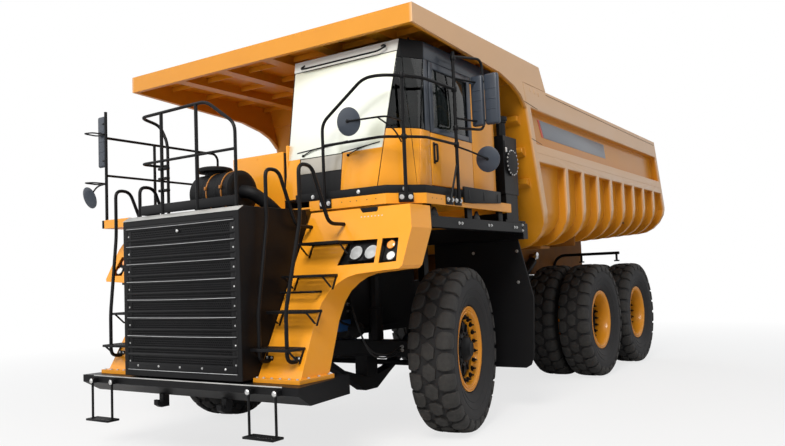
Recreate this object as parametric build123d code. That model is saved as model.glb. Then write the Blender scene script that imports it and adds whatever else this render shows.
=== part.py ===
from build123d import *
import math
import os

# A three-axle off-highway mining dump truck, modelled at its real size in millimetres.
# The truck's front faces -Y, its left side is +X and +Z is up. The ground is Z = 0.
# In this file Y is counted from the front axle. Every piece is moved by SHIFT_Y when it is
# written, so that the origin lies on the ground under the middle of the whole truck.

os.makedirs("parts", exist_ok=True)

# Clearances
RUN_GAP = 0.1
REST_GAP = 0.3
PLAY = 5
PIN_SIDES = 12

# Tyres: the radius is that of the lugs' tips
TYRE_R = 940
TYRE_HALF = 250
LUG_COUNT = 14
LUG_SHARE = 0.55
GROOVE_R = 902
SHOULDER_R = 868
SHOULDER_X = 220
BULGE_R = 725

# Rims
RIM_SIDES = 12
RIM_SEAT_R = 419
RIM_FLANGE_R = 482
RIM_W = 350
RIM_WALL = 24
FLANGE_T = 20
SPINDLE_R = 80
HUB_R = 165
HUB_NOSE = 200
TWIN_PITCH = 580

# Axles and steering
FRONT_TRACK = 3446
REAR_OUTER_TRACK = 3242
MID_AXLE_Y = 4954
BOGIE_SPACING = 2084
KINGPIN_OFFSET = 374
PARKED_STEER = 11
KINGPIN_R = 55
KNUCKLE_BOSS_R = 105
KNUCKLE_BOSS_H = 80
AXLE_BOSS_H = 215
STEER_ARM = 400
STEER_ARM_T = 50
TIE_ROD_R = 35
TIE_ROD_DROP = 50
BALL_R = 22
FRONT_BEAM_H = 190
FRONT_BEAM_W = 190
AXLE_TUBE_R = 135
DIFF_R = 300
BRAKE_R = 280

# Leaf springs
LEAF_T = 56
FRONT_LEAF_X = 500
FRONT_LEAF_W = 150
FRONT_LEAF_SPAN = 1120
FRONT_LEAF_LOW = 430

# Chassis frame
RAIL_IN = 440
RAIL_W = 120
RAIL_Z = 1300
RAIL_H = 400
FRAME_FRONT_Y = -2150
PIVOT_Y = 7400
PIVOT_Z = 1600
PIVOT_R = 60
PIVOT_END_R = 100
CROSS_YS = (-2050, 1450, 2700, 3900, 6000, 7250)
CROSS_L = 160
CLEVIS_Y = 7410
CLEVIS_Z = 1500
CLEVIS_W = 200
CLEVIS_GAP = 70
CLEVIS_PLATE = 25
TOW_PIN_R = 26

# Front bumper and its hanging steps
BUMPER_Y = -2490
BUMPER_BACK_Y = -1600
BUMPER_HALF = 1560
BUMPER_BACK_HALF = 1450
BUMPER_TOP = 840
BUMPER_LIP = 765
BUMPER_BOTTOM = 655
BUMPER_CHAMFER = 190
HANG_XS = (996, 1327)
HANG_Z = 790
HANG_STEP_Z = 375
HANG_BAR = 26
HANG_PIN_R = 13
HANG_LUG = 32
HANG_PLATE = 10
HANG_Y = BUMPER_Y - 45
HANG_TREAD_W = 150
HANG_TREAD_T = 22
HOOK_X = 460
HOOK_T = 60

# Radiator housing and grille
GRILLE_Y = -2470
GRILLE_HALF = 860
GRILLE_BOTTOM = 860
GRILLE_TOP = 2475
HOOD_TOP = 2520
HOOD_CHAMFER = 70
HOOD_BACK_Y = -1480
HOOD_WALL = 20
GRILLE_FRAME = 60
GRILLE_BAR_COUNT = 9
GRILLE_BAR_H = 14
GRILLE_DEPTH = 40

# Deck
DECK_TOP = 2615
DECK_T = 20
DECK_HALF = 2120
DECK_FRONT_Y = -1420
DECK_CORNER_X = 1840
DECK_CORNER_Y = -1100
DECK_BACK_Y = 900
SKIRT_H = 105
SKIRT_T = 30
CENTRE_DECK_HALF = 862
CENTRE_DECK_STEP = 60
LEDGE_FRONT_Y = -1800
LEDGE_IN_X = 1640
SIDE_BEAM_X = 2000
SIDE_BEAM = 120
SIDE_BEAM_TOP = 2400
CROSSBEAM_Y = 1430
CROSSBEAM_L = 140
CROSSBEAM_Z = 2200
CROSSBEAM_H = 200

# Fender legs: their front face leans back from the bumper to the deck
LEG_IN = 868
LEG_BASE_OUT = 1405
LEG_OUT = 2200
LEG_BASE_Y = -2270
LEG_TOP_Y = -1405
LEG_BASE_Z = 880
LEG_TOP_Z = 2490
LEG_DEPTH = 420
FENDER_BOTTOM = 1850
LEG_FOOT_T = 40
LEG_WALL = 14
LAMP_Z = 2030
LAMP_R = 72
TREAD_T = 25
TREAD_DEPTH = 260
STAIR_RAIL_R = 19

# Rails
POST_R = 19
RAIL_R = 17
RAIL_TOP = DECK_TOP + 1190
RAIL_MID = DECK_TOP + 565
CORNER_POST_X = 1990
MIRROR_POST_Y = -460
FAR_POST_Y = -1745
FAR_RAIL_END_Y = 130

# Cab
CAB_IN = 450
CAB_OUT = 2000
CAB_FRONT_Y = -1350
CAB_TOP_FRONT_Y = -1100
CAB_BACK_Y = 750
CAB_BASE = DECK_TOP + 30
CAB_TOP = CAB_BASE + 1610
CAB_WALL = 45
CHAMFER_BASE_X = 1680
CHAMFER_TOP_X = 1870
CHAMFER_BASE_Y = -1060
CHAMFER_TOP_Y = -850
WINDOW_SILL = CAB_BASE + 645
WINDOW_HEAD = CAB_BASE + 1405
EXIT_FRONT_Y = -780
EXIT_BACK_Y = 160
DOOR_FRONT_Y = -400
DOOR_BACK_Y = 500
DOOR_SILL = CAB_BASE + 75
DOOR_HEAD = CAB_BASE + 1485
DOOR_GAP = 8
HINGE_R = 14
HINGE_X = CAB_IN - HINGE_R - REST_GAP
HINGE_Y = DOOR_BACK_Y + DOOR_GAP
GLASS_T = 8
GLASS_INSET = 12
DOOR_OPEN = 75
SEAT_X = 1325

# Bed
BED_OUT = 2169
RIB_DEPTH = 120
RIB_RADIUS = 500
CORNER_STEPS = 5
RIB_BOTTOM = 2130
RIB_BOTTOM_Y = 2730
BED_SLOPE = 0.060
BED_WALL = 25
BED_TOP = 4210
RAIL_TOP_H = 300
RAIL_MID_TOP = 3450
RAIL_MID_BOTTOM = 3220
RIB_LENGTH = 110
RIB_YS = (2730, 3400, 4075, 4727, 5375, 5973, 6606, 7288)
HEAD_LOW_Y = 1920
HEAD_LOW_Z = 2200
HEAD_TOP_Y = 1330
HEAD_LEDGE = 90
HEAD_LEDGE_ZS = (2950, 3350, 3750)
BED_REAR_TOP_Y = 7570
BED_REAR_LOW_Y = 8100
BED_REAR_LOW_Z = 2900
CANOPY_FRONT_Y = -1316
CANOPY_TOP = 4513
CANOPY_LIP = 200
CANOPY_SIDE_T = 60
CANOPY_PLATE_T = 20
CANOPY_BACK_Y = 1880
BEAM_XS = (-1500, -750, 0, 750, 1500)
BEAM_W = 160
BEAM_H = 110
LONGERON_W = 160
LONGERON_Z = RAIL_Z + RAIL_H + 20
LONGERON_FRONT_Y = 2000
LONGERON_BACK_Y = 7510
CHEEK_X = 1980
CHEEK_Y = 3400
SHELF_Z = 2140
EAR_T = 60

# Hoists
HOIST_X = 705
HOIST_LOW = (3300, 1100)
HOIST_HIGH = (4900, 2050)
HOIST_BARREL_R = 75
HOIST_STAGE_R = 58
HOIST_ROD_R = 42
HOIST_PIN_R = 35
HOIST_EYE = 32
TIP_ANGLE = 45

# Worked out from the sizes above
LUG_HALF_ANGLE = 180 / LUG_COUNT * LUG_SHARE
AXLE_Z = TYRE_R * math.cos(math.radians(LUG_HALF_ANGLE))
KINGPIN_X = FRONT_TRACK / 2 - KINGPIN_OFFSET
TWIN_X = REAR_OUTER_TRACK / 2 - TWIN_PITCH / 2
REAR_AXLE_Y = MID_AXLE_Y + BOGIE_SPACING
FRONT_END_Y = HANG_Y - HANG_TREAD_W / 2
SHIFT_Y = -(FRONT_END_Y + BED_REAR_LOW_Y) / 2


# Helpers for solids


def block(x0, x1, y0, y1, z0, z1):
    """A box between two corners."""
    centre = ((x0 + x1) / 2, (y0 + y1) / 2, (z0 + z1) / 2)
    return Pos(*centre) * Box(abs(x1 - x0), abs(y1 - y0), abs(z1 - z0))


def profile_x(points, x0, x1):
    """A (Y, Z) outline extruded along X."""
    face = make_face(Plane.YZ * Polyline(*points, close=True))
    return Pos(min(x0, x1), 0, 0) * extrude(face, abs(x1 - x0), dir=(1, 0, 0))


def profile_y(points, y0, y1):
    """An (X, Z) outline extruded along Y."""
    face = make_face(Plane.XZ * Polyline(*points, close=True))
    return Pos(0, y0, 0) * extrude(face, y1 - y0, dir=(0, 1, 0))


def profile_z(points, z0, z1):
    """An (X, Y) outline extruded along Z."""
    face = make_face(Polyline(*points, close=True))
    return Pos(0, 0, z0) * extrude(face, z1 - z0, dir=(0, 0, 1))


def prism(radius, start, end, sides=8, turn=0):
    """A many-sided bar between two points. One that lies flat and isn't turned has a corner lowest."""
    a = Vector(*start)
    along = Vector(*end) - a
    z_dir = along.normalized()
    hint = Vector(0, 0, -1) if abs(z_dir.Z) < 0.9 else Vector(1, 0, 0)
    across = hint.cross(z_dir).normalized()
    plane = Plane(origin=a, x_dir=z_dir.cross(across), z_dir=z_dir)
    return extrude(plane * Rot(0, 0, turn) * RegularPolygon(radius, sides), along.length, dir=z_dir)


def rod_x(radius, x0, x1, y, z):
    """A pin along X whose corners lie on its radius."""
    return prism(radius, (x0, y, z), (x1, y, z), PIN_SIDES)


def rod_z(radius, z0, z1, x, y):
    """A pin along Z whose corners lie on its radius."""
    return prism(radius, (x, y, z0), (x, y, z1), PIN_SIDES)


def bore(radius, start, end):
    """A hole whose flats just clear the corners of a turning pin of this radius."""
    corner_r = (radius + RUN_GAP) / math.cos(math.pi / PIN_SIDES)
    return prism(corner_r, start, end, PIN_SIDES, 180 / PIN_SIDES)


def bore_x(radius, x0, x1, y, z):
    """A hole along X for a pin."""
    return bore(radius, (x0, y, z), (x1, y, z))


def bore_z(radius, z0, z1, x, y):
    """A hole along Z for a pin."""
    return bore(radius, (x, y, z0), (x, y, z1))


def pipe(points, radius):
    """A six-sided tube through points, mitred at its corners."""
    line = Polyline(*points)
    section = Plane(origin=line @ 0, z_dir=line % 0) * RegularPolygon(radius, 6)
    return sweep(section, line, transition=Transition.RIGHT)


def mirrored(shape):
    """A shape and its mirror image across the truck's middle."""
    return [shape, shape.mirror(Plane.YZ)]


def fused(pieces):
    """One solid from pieces that touch."""
    return pieces[0].fuse(*pieces[1:]) if len(pieces) > 1 else pieces[0]


def largest(shape):
    """The largest solid of a cut shape."""
    return max(shape.solids(), key=lambda solid: solid.volume)


def write(name, *shapes):
    """Writes the solids of one node, moved to the record's origin."""
    solids = [s for shape in shapes for s in shape.solids()]
    moved = Compound(children=[s.moved(Location((0, SHIFT_Y, 0))) for s in solids])
    export_step(moved, f"parts/{name}.step")


# Tyres and rims, with the wheel's axle along X and its middle at the origin


def ring_points(x, radius, sides):
    """The corners of a regular outline across the axle, by the radius of its flats."""
    corner_r = radius / math.cos(math.pi / sides)
    angles = [math.radians((i + 0.5) * 360 / sides) for i in range(sides)]
    return [Vector(x, corner_r * math.sin(a), -corner_r * math.cos(a)) for a in angles]


def frustum(x0, r0, x1, r1, sides):
    """A flat-sided tapered disc between two places on the axle, by the radii of its flats."""
    low = ring_points(x0, r0, sides)
    high = ring_points(x1, r1, sides)
    faces = [make_face(Polyline(*low, close=True)).face(), make_face(Polyline(*high, close=True)).face()]
    for i in range(sides):
        j = (i + 1) % sides
        faces.append(make_face(Polyline(low[i], low[j], high[j], high[i], close=True)).face())
    return Solid(Shell(faces))


def tread():
    """The tread: a band with a row of lugs across it, one of them at the bottom."""
    points = []
    half = LUG_HALF_ANGLE
    corners = ((-half, GROOVE_R), (-half, TYRE_R), (half, TYRE_R), (half, GROOVE_R))
    for i in range(LUG_COUNT):
        for offset, radius in corners:
            angle = math.radians(i * 360 / LUG_COUNT + offset)
            points.append((radius * math.sin(angle), -radius * math.cos(angle)))
    return profile_x(points, -SHOULDER_X, SHOULDER_X)


def tyre():
    """A lugged tyre whose sides pull in to the rim's flanges."""
    bead_x = RIM_W / 2 - FLANGE_T - REST_GAP
    bore_r = RIM_SEAT_R + REST_GAP
    flange_r = RIM_FLANGE_R + PLAY
    body = tread()
    for side in (1, -1):
        body += frustum(side * SHOULDER_X, SHOULDER_R, side * TYRE_HALF, BULGE_R, LUG_COUNT)
    for side in (1, -1):
        body -= frustum(side * TYRE_HALF, BULGE_R, side * bead_x, flange_r, LUG_COUNT)
    return body - frustum(-bead_x - 1, bore_r, bead_x + 1, bore_r, LUG_COUNT)


def disc(radius, x0, x1, sides=RIM_SIDES):
    """A many-sided disc on the wheel's axle."""
    return prism(radius, (x0, 0, 0), (x1, 0, 0), sides)


def rim_barrel(centre):
    """The outside of one rim: the tyre's seat between two flanges."""
    a = centre - RIM_W / 2
    b = centre + RIM_W / 2
    flanges = [disc(RIM_FLANGE_R, x, x + FLANGE_T) for x in (a, b - FLANGE_T)]
    return fused([disc(RIM_SEAT_R, a, b), *flanges])


def front_rim():
    """A front rim with its disc and hub, outer side towards +X."""
    half = RIM_W / 2
    inner_r = RIM_SEAT_R - RIM_WALL
    rim = rim_barrel(0) - disc(inner_r, -half - 1, half + 1)
    rim += disc(inner_r, 20, 50)
    wheel = fused([rim, disc(HUB_R, -60, 90), disc(HUB_R * 0.6, 80, HUB_NOSE, 8)])
    return wheel - bore_x(SPINDLE_R, -70, HUB_NOSE - 60, 0, 0)


def twin_rim():
    """Two rims on one hub, with the deep dish of the outer one towards +X."""
    far = TWIN_PITCH / 2 + RIM_W / 2
    inner_r = RIM_SEAT_R - RIM_WALL
    flanges = [disc(RIM_FLANGE_R, x, x + FLANGE_T) for x in (-far, far - FLANGE_T)]
    body = fused([disc(RIM_SEAT_R, -far, far), *flanges])
    body -= disc(inner_r, 30, far + 1)
    body -= disc(inner_r, -far - 1, -30)
    wheel = fused([body, disc(HUB_R, -140, 250)])
    return wheel - bore_x(SPINDLE_R, -150, 200, 0, 0)


def parked(shape, side):
    """Turns a straight-ahead front wheel piece about its kingpin to the parked steering angle."""
    pin = Pos(side * KINGPIN_X, 0, 0)
    return pin * Rot(0, 0, PARKED_STEER) * pin.inverse() * shape


def build_wheels():
    tyres = {1: tyre()}
    fronts = {1: front_rim()}
    twins = {1: twin_rim()}
    for table in (tyres, fronts, twins):
        table[-1] = table[1].mirror(Plane.YZ)
    for side, word in ((1, "left"), (-1, "right")):
        place = Pos(side * FRONT_TRACK / 2, 0, AXLE_Z)
        write(f"tyre_front_{word}", parked(place * tyres[side], side))
        write(f"rim_front_{word}", parked(place * fronts[side], side))
        for axle, y in (("mid", MID_AXLE_Y), ("rear", REAR_AXLE_Y)):
            at = Pos(side * TWIN_X, y, AXLE_Z)
            pair = [at * Pos(d * TWIN_PITCH / 2, 0, 0) * tyres[side] for d in (1, -1)]
            write(f"tyres_{axle}_{word}", *pair)
            write(f"rims_{axle}_{word}", at * twins[side])


# Front axle and steering


def build_front_axle():
    boss_top = AXLE_Z + AXLE_BOSS_H / 2
    boss_low = AXLE_Z - AXLE_BOSS_H / 2
    beam_z = AXLE_Z - FRONT_BEAM_H / 2
    half = FRONT_BEAM_W / 2
    reach = PLAY + KNUCKLE_BOSS_H
    seat = FRONT_LEAF_W / 2 + 15
    pieces = [block(-KINGPIN_X, KINGPIN_X, -half, half, beam_z, beam_z + FRONT_BEAM_H)]
    for side in (1, -1):
        x = side * KINGPIN_X
        pieces.append(prism(KNUCKLE_BOSS_R, (x, 0, boss_low), (x, 0, boss_top)))
        pin_ends = ((x, 0, boss_low - reach), (x, 0, boss_top + reach))
        pieces.append(prism(KINGPIN_R, *pin_ends, PIN_SIDES, PARKED_STEER))
        x = side * (RAIL_IN + RAIL_W + 100)
        pieces.append(prism(95, (x, 0, beam_z + 20), (x, 0, RAIL_Z + 120)))
        pieces.append(prism(70, (x, 0, RAIL_Z + 100), (x, 0, RAIL_Z + RAIL_H + 100)))
        pieces.append(block(side * (RAIL_IN + RAIL_W), x, -60, 60, RAIL_Z + 250, RAIL_Z + 380))
        x = side * FRONT_LEAF_X
        seat_z = FRONT_LEAF_LOW + 3 * LEAF_T + REST_GAP
        pieces.append(block(x - seat, x + seat, -110, 110, seat_z, beam_z + 10))
    write("front_axle", fused(pieces))


def knuckle(side):
    """A steering knuckle with its spindle and arm, standing straight ahead."""
    x = side * KINGPIN_X
    boss_top = AXLE_Z + AXLE_BOSS_H / 2
    boss_low = AXLE_Z - AXLE_BOSS_H / 2
    pin_low = boss_low - PLAY - KNUCKLE_BOSS_H
    pin_top = boss_top + PLAY + KNUCKLE_BOSS_H
    web = x + side * (KNUCKLE_BOSS_R + 8)
    arm_top = boss_low - PLAY - 10
    arm_low = arm_top - STEER_ARM_T
    ball_low = arm_low - 2 * TIE_ROD_DROP - 10
    pieces = []
    for low, high in ((pin_low, boss_low - PLAY), (boss_top + PLAY, pin_top)):
        pieces.append(prism(KNUCKLE_BOSS_R, (x, 0, low), (x, 0, high)))
        pieces.append(block(x + side * 40, web + side * 10, -95, 95, low, high))
    pieces.append(block(web, web + side * 45, -95, 95, pin_low, pin_top))
    pieces.append(rod_x(SPINDLE_R, web, side * (FRONT_TRACK / 2 + 110), 0, AXLE_Z))
    pieces.append(prism(BRAKE_R, (web + side * 30, 0, AXLE_Z), (web + side * 55, 0, AXLE_Z), 12))
    pieces.append(block(x - 50, x + 50, 0, STEER_ARM + 50, arm_low, arm_top))
    pieces.append(rod_z(BALL_R, ball_low, arm_low + 10, x, STEER_ARM))
    return fused(pieces) - bore_z(KINGPIN_R, pin_low - 1, pin_top + 1, x, 0)


def tie_rod_z():
    """The height of the tie rod's middle."""
    return AXLE_Z - AXLE_BOSS_H / 2 - PLAY - 10 - STEER_ARM_T - TIE_ROD_DROP


def build_steering():
    for side, word in ((1, "left"), (-1, "right")):
        write(f"knuckle_{word}", parked(knuckle(side), side))
    z = tie_rod_z()
    turn = math.radians(PARKED_STEER)
    y = STEER_ARM * math.cos(turn)
    ends = [side * KINGPIN_X - STEER_ARM * math.sin(turn) for side in (1, -1)]
    half = TIE_ROD_DROP - PLAY
    bosses = [prism(50, (x, y, z - half), (x, y, z + half)) for x in ends]
    rod = fused([prism(TIE_ROD_R, (ends[1], y, z), (ends[0], y, z)), *bosses])
    for x in ends:
        rod -= bore_z(BALL_R, z - half - 1, z + half + 1, x, y)
    write("tie_rod", rod)


# Chassis frame, axles and suspension


def build_frame():
    pieces = []
    top = RAIL_Z + RAIL_H
    tail = PIVOT_Z - PIVOT_END_R + 10
    outline = [(FRAME_FRONT_Y, RAIL_Z), (PIVOT_Y - 300, RAIL_Z), (PIVOT_Y - 40, tail), (PIVOT_Y, tail),
               (PIVOT_Y, top), (FRAME_FRONT_Y, top)]
    outer = RAIL_IN + RAIL_W
    y, z = HOIST_LOW
    for side in (1, -1):
        inner_x = side * RAIL_IN
        outer_x = side * outer
        pin_x = side * (outer - 20)
        boss_x = side * (HOIST_X - HOIST_BARREL_R - PLAY)
        pieces.append(profile_x(outline, inner_x, outer_x))
        pieces.append(prism(PIVOT_END_R, (inner_x, PIVOT_Y, PIVOT_Z), (outer_x, PIVOT_Y, PIVOT_Z)))
        pieces.append(rod_x(PIVOT_R, side * (RAIL_IN + 20), side * (outer + EAR_T + 25), PIVOT_Y, PIVOT_Z))
        pieces.append(block(inner_x, outer_x, y - 120, y + 120, z - 80, RAIL_Z + 20))
        pieces.append(prism(HOIST_PIN_R + 30, (pin_x, y, z), (boss_x, y, z)))
        pieces.append(rod_x(HOIST_PIN_R, pin_x, side * (HOIST_X + 50), y, z))
    for y in CROSS_YS:
        half = CROSS_L / 2
        pieces.append(block(-RAIL_IN - 10, RAIL_IN + 10, y - half, y + half, RAIL_Z + 60, top - 60))
    for z in (CLEVIS_Z - CLEVIS_GAP / 2 - CLEVIS_PLATE, CLEVIS_Z + CLEVIS_GAP / 2):
        half = CLEVIS_W / 2
        pieces.append(block(-half, half, CROSS_YS[-1] + 60, CLEVIS_Y + 55, z, z + CLEVIS_PLATE))
    write("frame", fused(pieces) - Pos(0, CLEVIS_Y, CLEVIS_Z) * Cylinder(TOW_PIN_R, 200))


def build_rear_axles():
    shapes = []
    z = AXLE_Z
    tube = TWIN_X - 150
    for y in (MID_AXLE_Y, REAR_AXLE_Y):
        pieces = [prism(AXLE_TUBE_R, (-tube, y, z), (tube, y, z))]
        pieces.append(rod_x(SPINDLE_R, -TWIN_X - 160, TWIN_X + 160, y, z))
        pieces.append(prism(DIFF_R, (0, y - 170, z), (0, y + 170, z), 12))
        pieces.append(prism(150, (0, y - 420, z), (0, y + 330, z)))
        for side in (1, -1):
            pieces.append(prism(BRAKE_R, (side * (TWIN_X - 260), y, z), (side * (TWIN_X - 200), y, z), 12))
        shapes.append(fused(pieces))
    write("rear_axles", *shapes)


def build_springs():
    seat = AXLE_Z + AXLE_TUBE_R + REST_GAP
    top = RAIL_Z - REST_GAP
    middle = (MID_AXLE_Y + REAR_AXLE_Y) / 2
    first = MID_AXLE_Y
    last = REAR_AXLE_Y
    rear = [(first - 160, seat), (first + 160, seat), (middle - 300, seat + 60), (middle + 300, seat + 60),
            (last - 160, seat), (last + 160, seat), (last + 160, seat + 50), (middle + 300, top - 60),
            (middle + 300, top), (middle - 300, top), (middle - 300, top - 60), (first - 160, seat + 50)]
    end = FRONT_LEAF_SPAN
    low = FRONT_LEAF_LOW
    thick = 3 * LEAF_T
    front = [(-end, 960), (-530, 660), (-120, low), (120, low), (420, 600), (end, 960), (end + 60, top),
             (end - 160, top), (end - 60, 960 + LEAF_T), (420, 600 + LEAF_T), (120, low + thick),
             (-120, low + thick), (-530, 660 + LEAF_T), (60 - end, 960 + LEAF_T), (160 - end, top),
             (-end - 60, top)]
    half = FRONT_LEAF_W / 2
    pair = [profile_x(rear, RAIL_IN - 10, RAIL_IN + RAIL_W + 10)]
    pair.append(profile_x(front, FRONT_LEAF_X - half, FRONT_LEAF_X + half))
    write("leaf_springs", *[m for shape in pair for m in mirrored(shape)])


# Front end


def build_bumper():
    plan = [(-BUMPER_HALF, BUMPER_Y), (BUMPER_HALF, BUMPER_Y), (BUMPER_BACK_HALF, BUMPER_BACK_Y),
            (-BUMPER_BACK_HALF, BUMPER_BACK_Y)]
    slab = profile_z(plan, BUMPER_BOTTOM, BUMPER_TOP)
    y = BUMPER_Y - 1
    nose = [(y, BUMPER_LIP), (y, BUMPER_BOTTOM - 1), (BUMPER_Y + BUMPER_CHAMFER, BUMPER_BOTTOM - 1)]
    pieces = [slab - profile_x(nose, -BUMPER_HALF - 10, BUMPER_HALF + 10)]
    y = FRAME_FRONT_Y + 10
    top = RAIL_Z - REST_GAP
    horn = [(y, BUMPER_TOP - 10), (BUMPER_BACK_Y - 60, BUMPER_TOP - 10), (y + 440, top), (y, top)]
    z = BUMPER_BOTTOM + 10
    hook = [(-2330, z), (-2250, z), (-2250, 530), (-2350, 530), (-2400, 560), (-2400, 610), (-2370, 610),
            (-2365, 580), (-2330, 575)]
    z0 = HANG_Z - 24
    z1 = HANG_Z + 24
    lug = [(BUMPER_Y + 5, z0), (BUMPER_Y + 5, z1), (HANG_Y, z1), (HANG_Y - 22, HANG_Z), (HANG_Y, z0)]
    for side in (1, -1):
        pieces.append(profile_x(horn, side * RAIL_IN, side * (RAIL_IN + RAIL_W)))
        pieces.append(profile_x(hook, side * HOOK_X - HOOK_T / 2, side * HOOK_X + HOOK_T / 2))
        for x in HANG_XS:
            span = HANG_LUG - HANG_PLATE / 2
            pieces.append(rod_x(HANG_PIN_R, side * x - span, side * x + span, HANG_Y, HANG_Z))
            for start in (-HANG_LUG, HANG_LUG - HANG_PLATE):
                pieces.append(profile_x(lug, side * x + start, side * x + start + HANG_PLATE))
    write("bumper", fused(pieces))


def build_hanging_steps():
    y = HANG_Y
    eye_half = HANG_LUG - HANG_PLATE - 4
    b = HANG_BAR / 2
    half = HANG_TREAD_W / 2
    for side, word in ((1, "left"), (-1, "right")):
        x0 = side * (HANG_XS[0] - 40)
        x1 = side * (HANG_XS[1] + 40)
        pieces = [block(x0, x1, y - half, y + half, HANG_STEP_Z - HANG_TREAD_T, HANG_STEP_Z)]
        for x in HANG_XS:
            x *= side
            pieces.append(prism(HANG_PIN_R + 14, (x - eye_half, y, HANG_Z), (x + eye_half, y, HANG_Z)))
            pieces.append(block(x - b, x + b, y - b, y + b, HANG_STEP_Z - 5, HANG_Z - HANG_PIN_R - 6))
        step = fused(pieces)
        for x in HANG_XS:
            step -= bore_x(HANG_PIN_R, side * x - 40, side * x + 40, y, HANG_Z)
        write(f"hanging_step_{word}", step)


def build_radiator():
    low = GRILLE_BOTTOM
    half = GRILLE_HALF
    y = GRILLE_Y
    z0 = low + GRILLE_FRAME
    z1 = GRILLE_TOP - GRILLE_FRAME
    top = HOOD_TOP
    back = HOOD_BACK_Y
    side = [(y, low), (y, GRILLE_TOP), (y + HOOD_CHAMFER, top), (back, top), (back, 1440), (-2050, low)]
    outer = profile_x(side, -half, half)
    wall = half - HOOD_WALL
    room = block(-wall, wall, y + GRILLE_DEPTH + 40, HOOD_BACK_Y + 5, low - 5, GRILLE_TOP - 30)
    feet = [block(x - 60, x + 60, y + 60, y + 260, BUMPER_TOP, low + 10) for x in (-640, 640)]
    sill = block(-half, half, y, y + 300, low, low + HOOD_WALL)
    mouth_half = half - GRILLE_FRAME
    mouth = block(-mouth_half, mouth_half, y - 5, y + 200, z0, z1)
    write("radiator_housing", fused([outer - mouth - room, sill, *feet]))

    half = mouth_half - REST_GAP
    z0 += REST_GAP
    z1 -= REST_GAP
    pieces = [block(-half, half, y + 15, y + GRILLE_DEPTH, z0, z1)]
    pitch = (z1 - z0) / GRILLE_BAR_COUNT
    for i in range(GRILLE_BAR_COUNT):
        z = z0 + (i + 0.5) * pitch
        pieces.append(block(-half, half, y, y + 20, z - GRILLE_BAR_H / 2, z + GRILLE_BAR_H / 2))
    pieces.append(block(-half + 20, half - 20, y + GRILLE_DEPTH - 5, y + 290, z0 + 10, z1 - 10))
    write("grille", fused(pieces))


def front_y(z):
    """The Y of the legs' leaning front face at height z."""
    return LEG_BASE_Y + (LEG_TOP_Y - LEG_BASE_Y) / (LEG_TOP_Z - LEG_BASE_Z) * (z - LEG_BASE_Z)


def leg_outline(inset):
    """The legs' (X, Z) outline: a post that curves out into the fender."""
    i = inset
    low = BUMPER_TOP + REST_GAP
    curve = [(1360 - i, 1380), (1378 - i, 1560), (1420 - i, 1660 + i), (1500 - i, 1740 + i), (1590, 1795 + i),
             (1700, 1825 + i)]
    fender = [(LEG_OUT - 180, FENDER_BOTTOM + i), (LEG_OUT - 30, FENDER_BOTTOM + 8 + i),
              (LEG_OUT - i, FENDER_BOTTOM + 40 + i), (LEG_OUT - i, 2250), (LEG_OUT - 90, LEG_TOP_Z - i)]
    return [(LEG_IN + i, low), (LEG_BASE_OUT - i, low), *curve, *fender, (LEG_IN + i, LEG_TOP_Z - i)]


def build_legs():
    """The painted legs that stand on the bumper and widen into the front fenders."""
    low = BUMPER_TOP + REST_GAP
    y0 = LEG_BASE_Y - 50
    y1 = LEG_TOP_Y + 700
    side = [(front_y(low), low), (front_y(low) + LEG_DEPTH, low), (front_y(1900) + LEG_DEPTH - 60, 1900),
            (front_y(LEG_TOP_Z) + 380, LEG_TOP_Z), (front_y(LEG_TOP_Z), LEG_TOP_Z)]
    outer = profile_y(leg_outline(0), y0, y1) & profile_x(side, LEG_IN - 10, LEG_OUT + 10)
    t = LEG_WALL
    hollow = [(front_y(low) + t, low), (front_y(low) + 800, low), (front_y(LEG_TOP_Z) + 800, LEG_TOP_Z),
              (front_y(LEG_TOP_Z) + t, LEG_TOP_Z)]
    leg = outer - (profile_y(leg_outline(t), y0, y1 + 200) & profile_x(hollow, LEG_IN, LEG_OUT))
    headlamp = [(1425, 1915), (1869, 1925), (1837, 2157), (1485, 2157)]
    turn_lamp = [(1918, 1920), (2120, 1930), (2080, 2157), (1890, 2160)]
    for recess in (headlamp, turn_lamp):
        leg -= profile_y(recess, y0, y1)
    y = front_y(low)
    foot = block(LEG_IN, LEG_BASE_OUT + 40, y - 50, y + LEG_DEPTH + 40, low, low + LEG_FOOT_T)
    leg = fused([leg, foot])
    write("fender_legs", *mirrored(leg))

    y = front_y(LAMP_Z)
    lamps = [prism(LAMP_R, (x, y + 20, LAMP_Z), (x, y + 110, LAMP_Z), 12) for x in (1620, 1795)]
    lamps.append(block(1530, 1885, y + 90, y + 110, LAMP_Z - 95, LAMP_Z + 100))
    lamps.append(block(1950, 2090, y + 20, y + 110, LAMP_Z - 95, LAMP_Z + 112))
    lamps.append(block(1870, 1970, y + 92, y + 110, LAMP_Z - 60, LAMP_Z + 60))
    lamps += [prism(46, (2020, y, z), (2020, y + 30, z)) for z in (LAMP_Z - 45, LAMP_Z + 62)]
    write("headlamps", *mirrored(largest(fused(lamps) - leg)))
    return leg


def build_stairs(leg):
    """Four treads and two hooped handrails on each side of the radiator."""
    pieces = []
    # tread height, inner X, outer X
    table = ((1160, 890, 1350), (1500, 930, 1420), (1835, 980, 1480), (2155, 1040, 1560))
    for z, x0, x1 in table:
        back = front_y(z - TREAD_T) - REST_GAP
        pieces.append(block(x0, x1, back - TREAD_DEPTH, back, z - TREAD_T, z))
    for x_low, x in ((945, 945), (1290, 1370)):
        points = [(x_low, -2050, 1020), (x_low, -2330, 1020), (x_low, -2330, 1500), (x, -2180, 2360),
                  (x, -2180, 2890), (x, -1980, 2890), (x, -1740, 2330), (x, -1400, 2330)]
        pieces.append(largest(pipe(points, STAIR_RAIL_R) - leg))
    write("stairs", *[m for piece in pieces for m in mirrored(piece)])


# Deck


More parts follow.
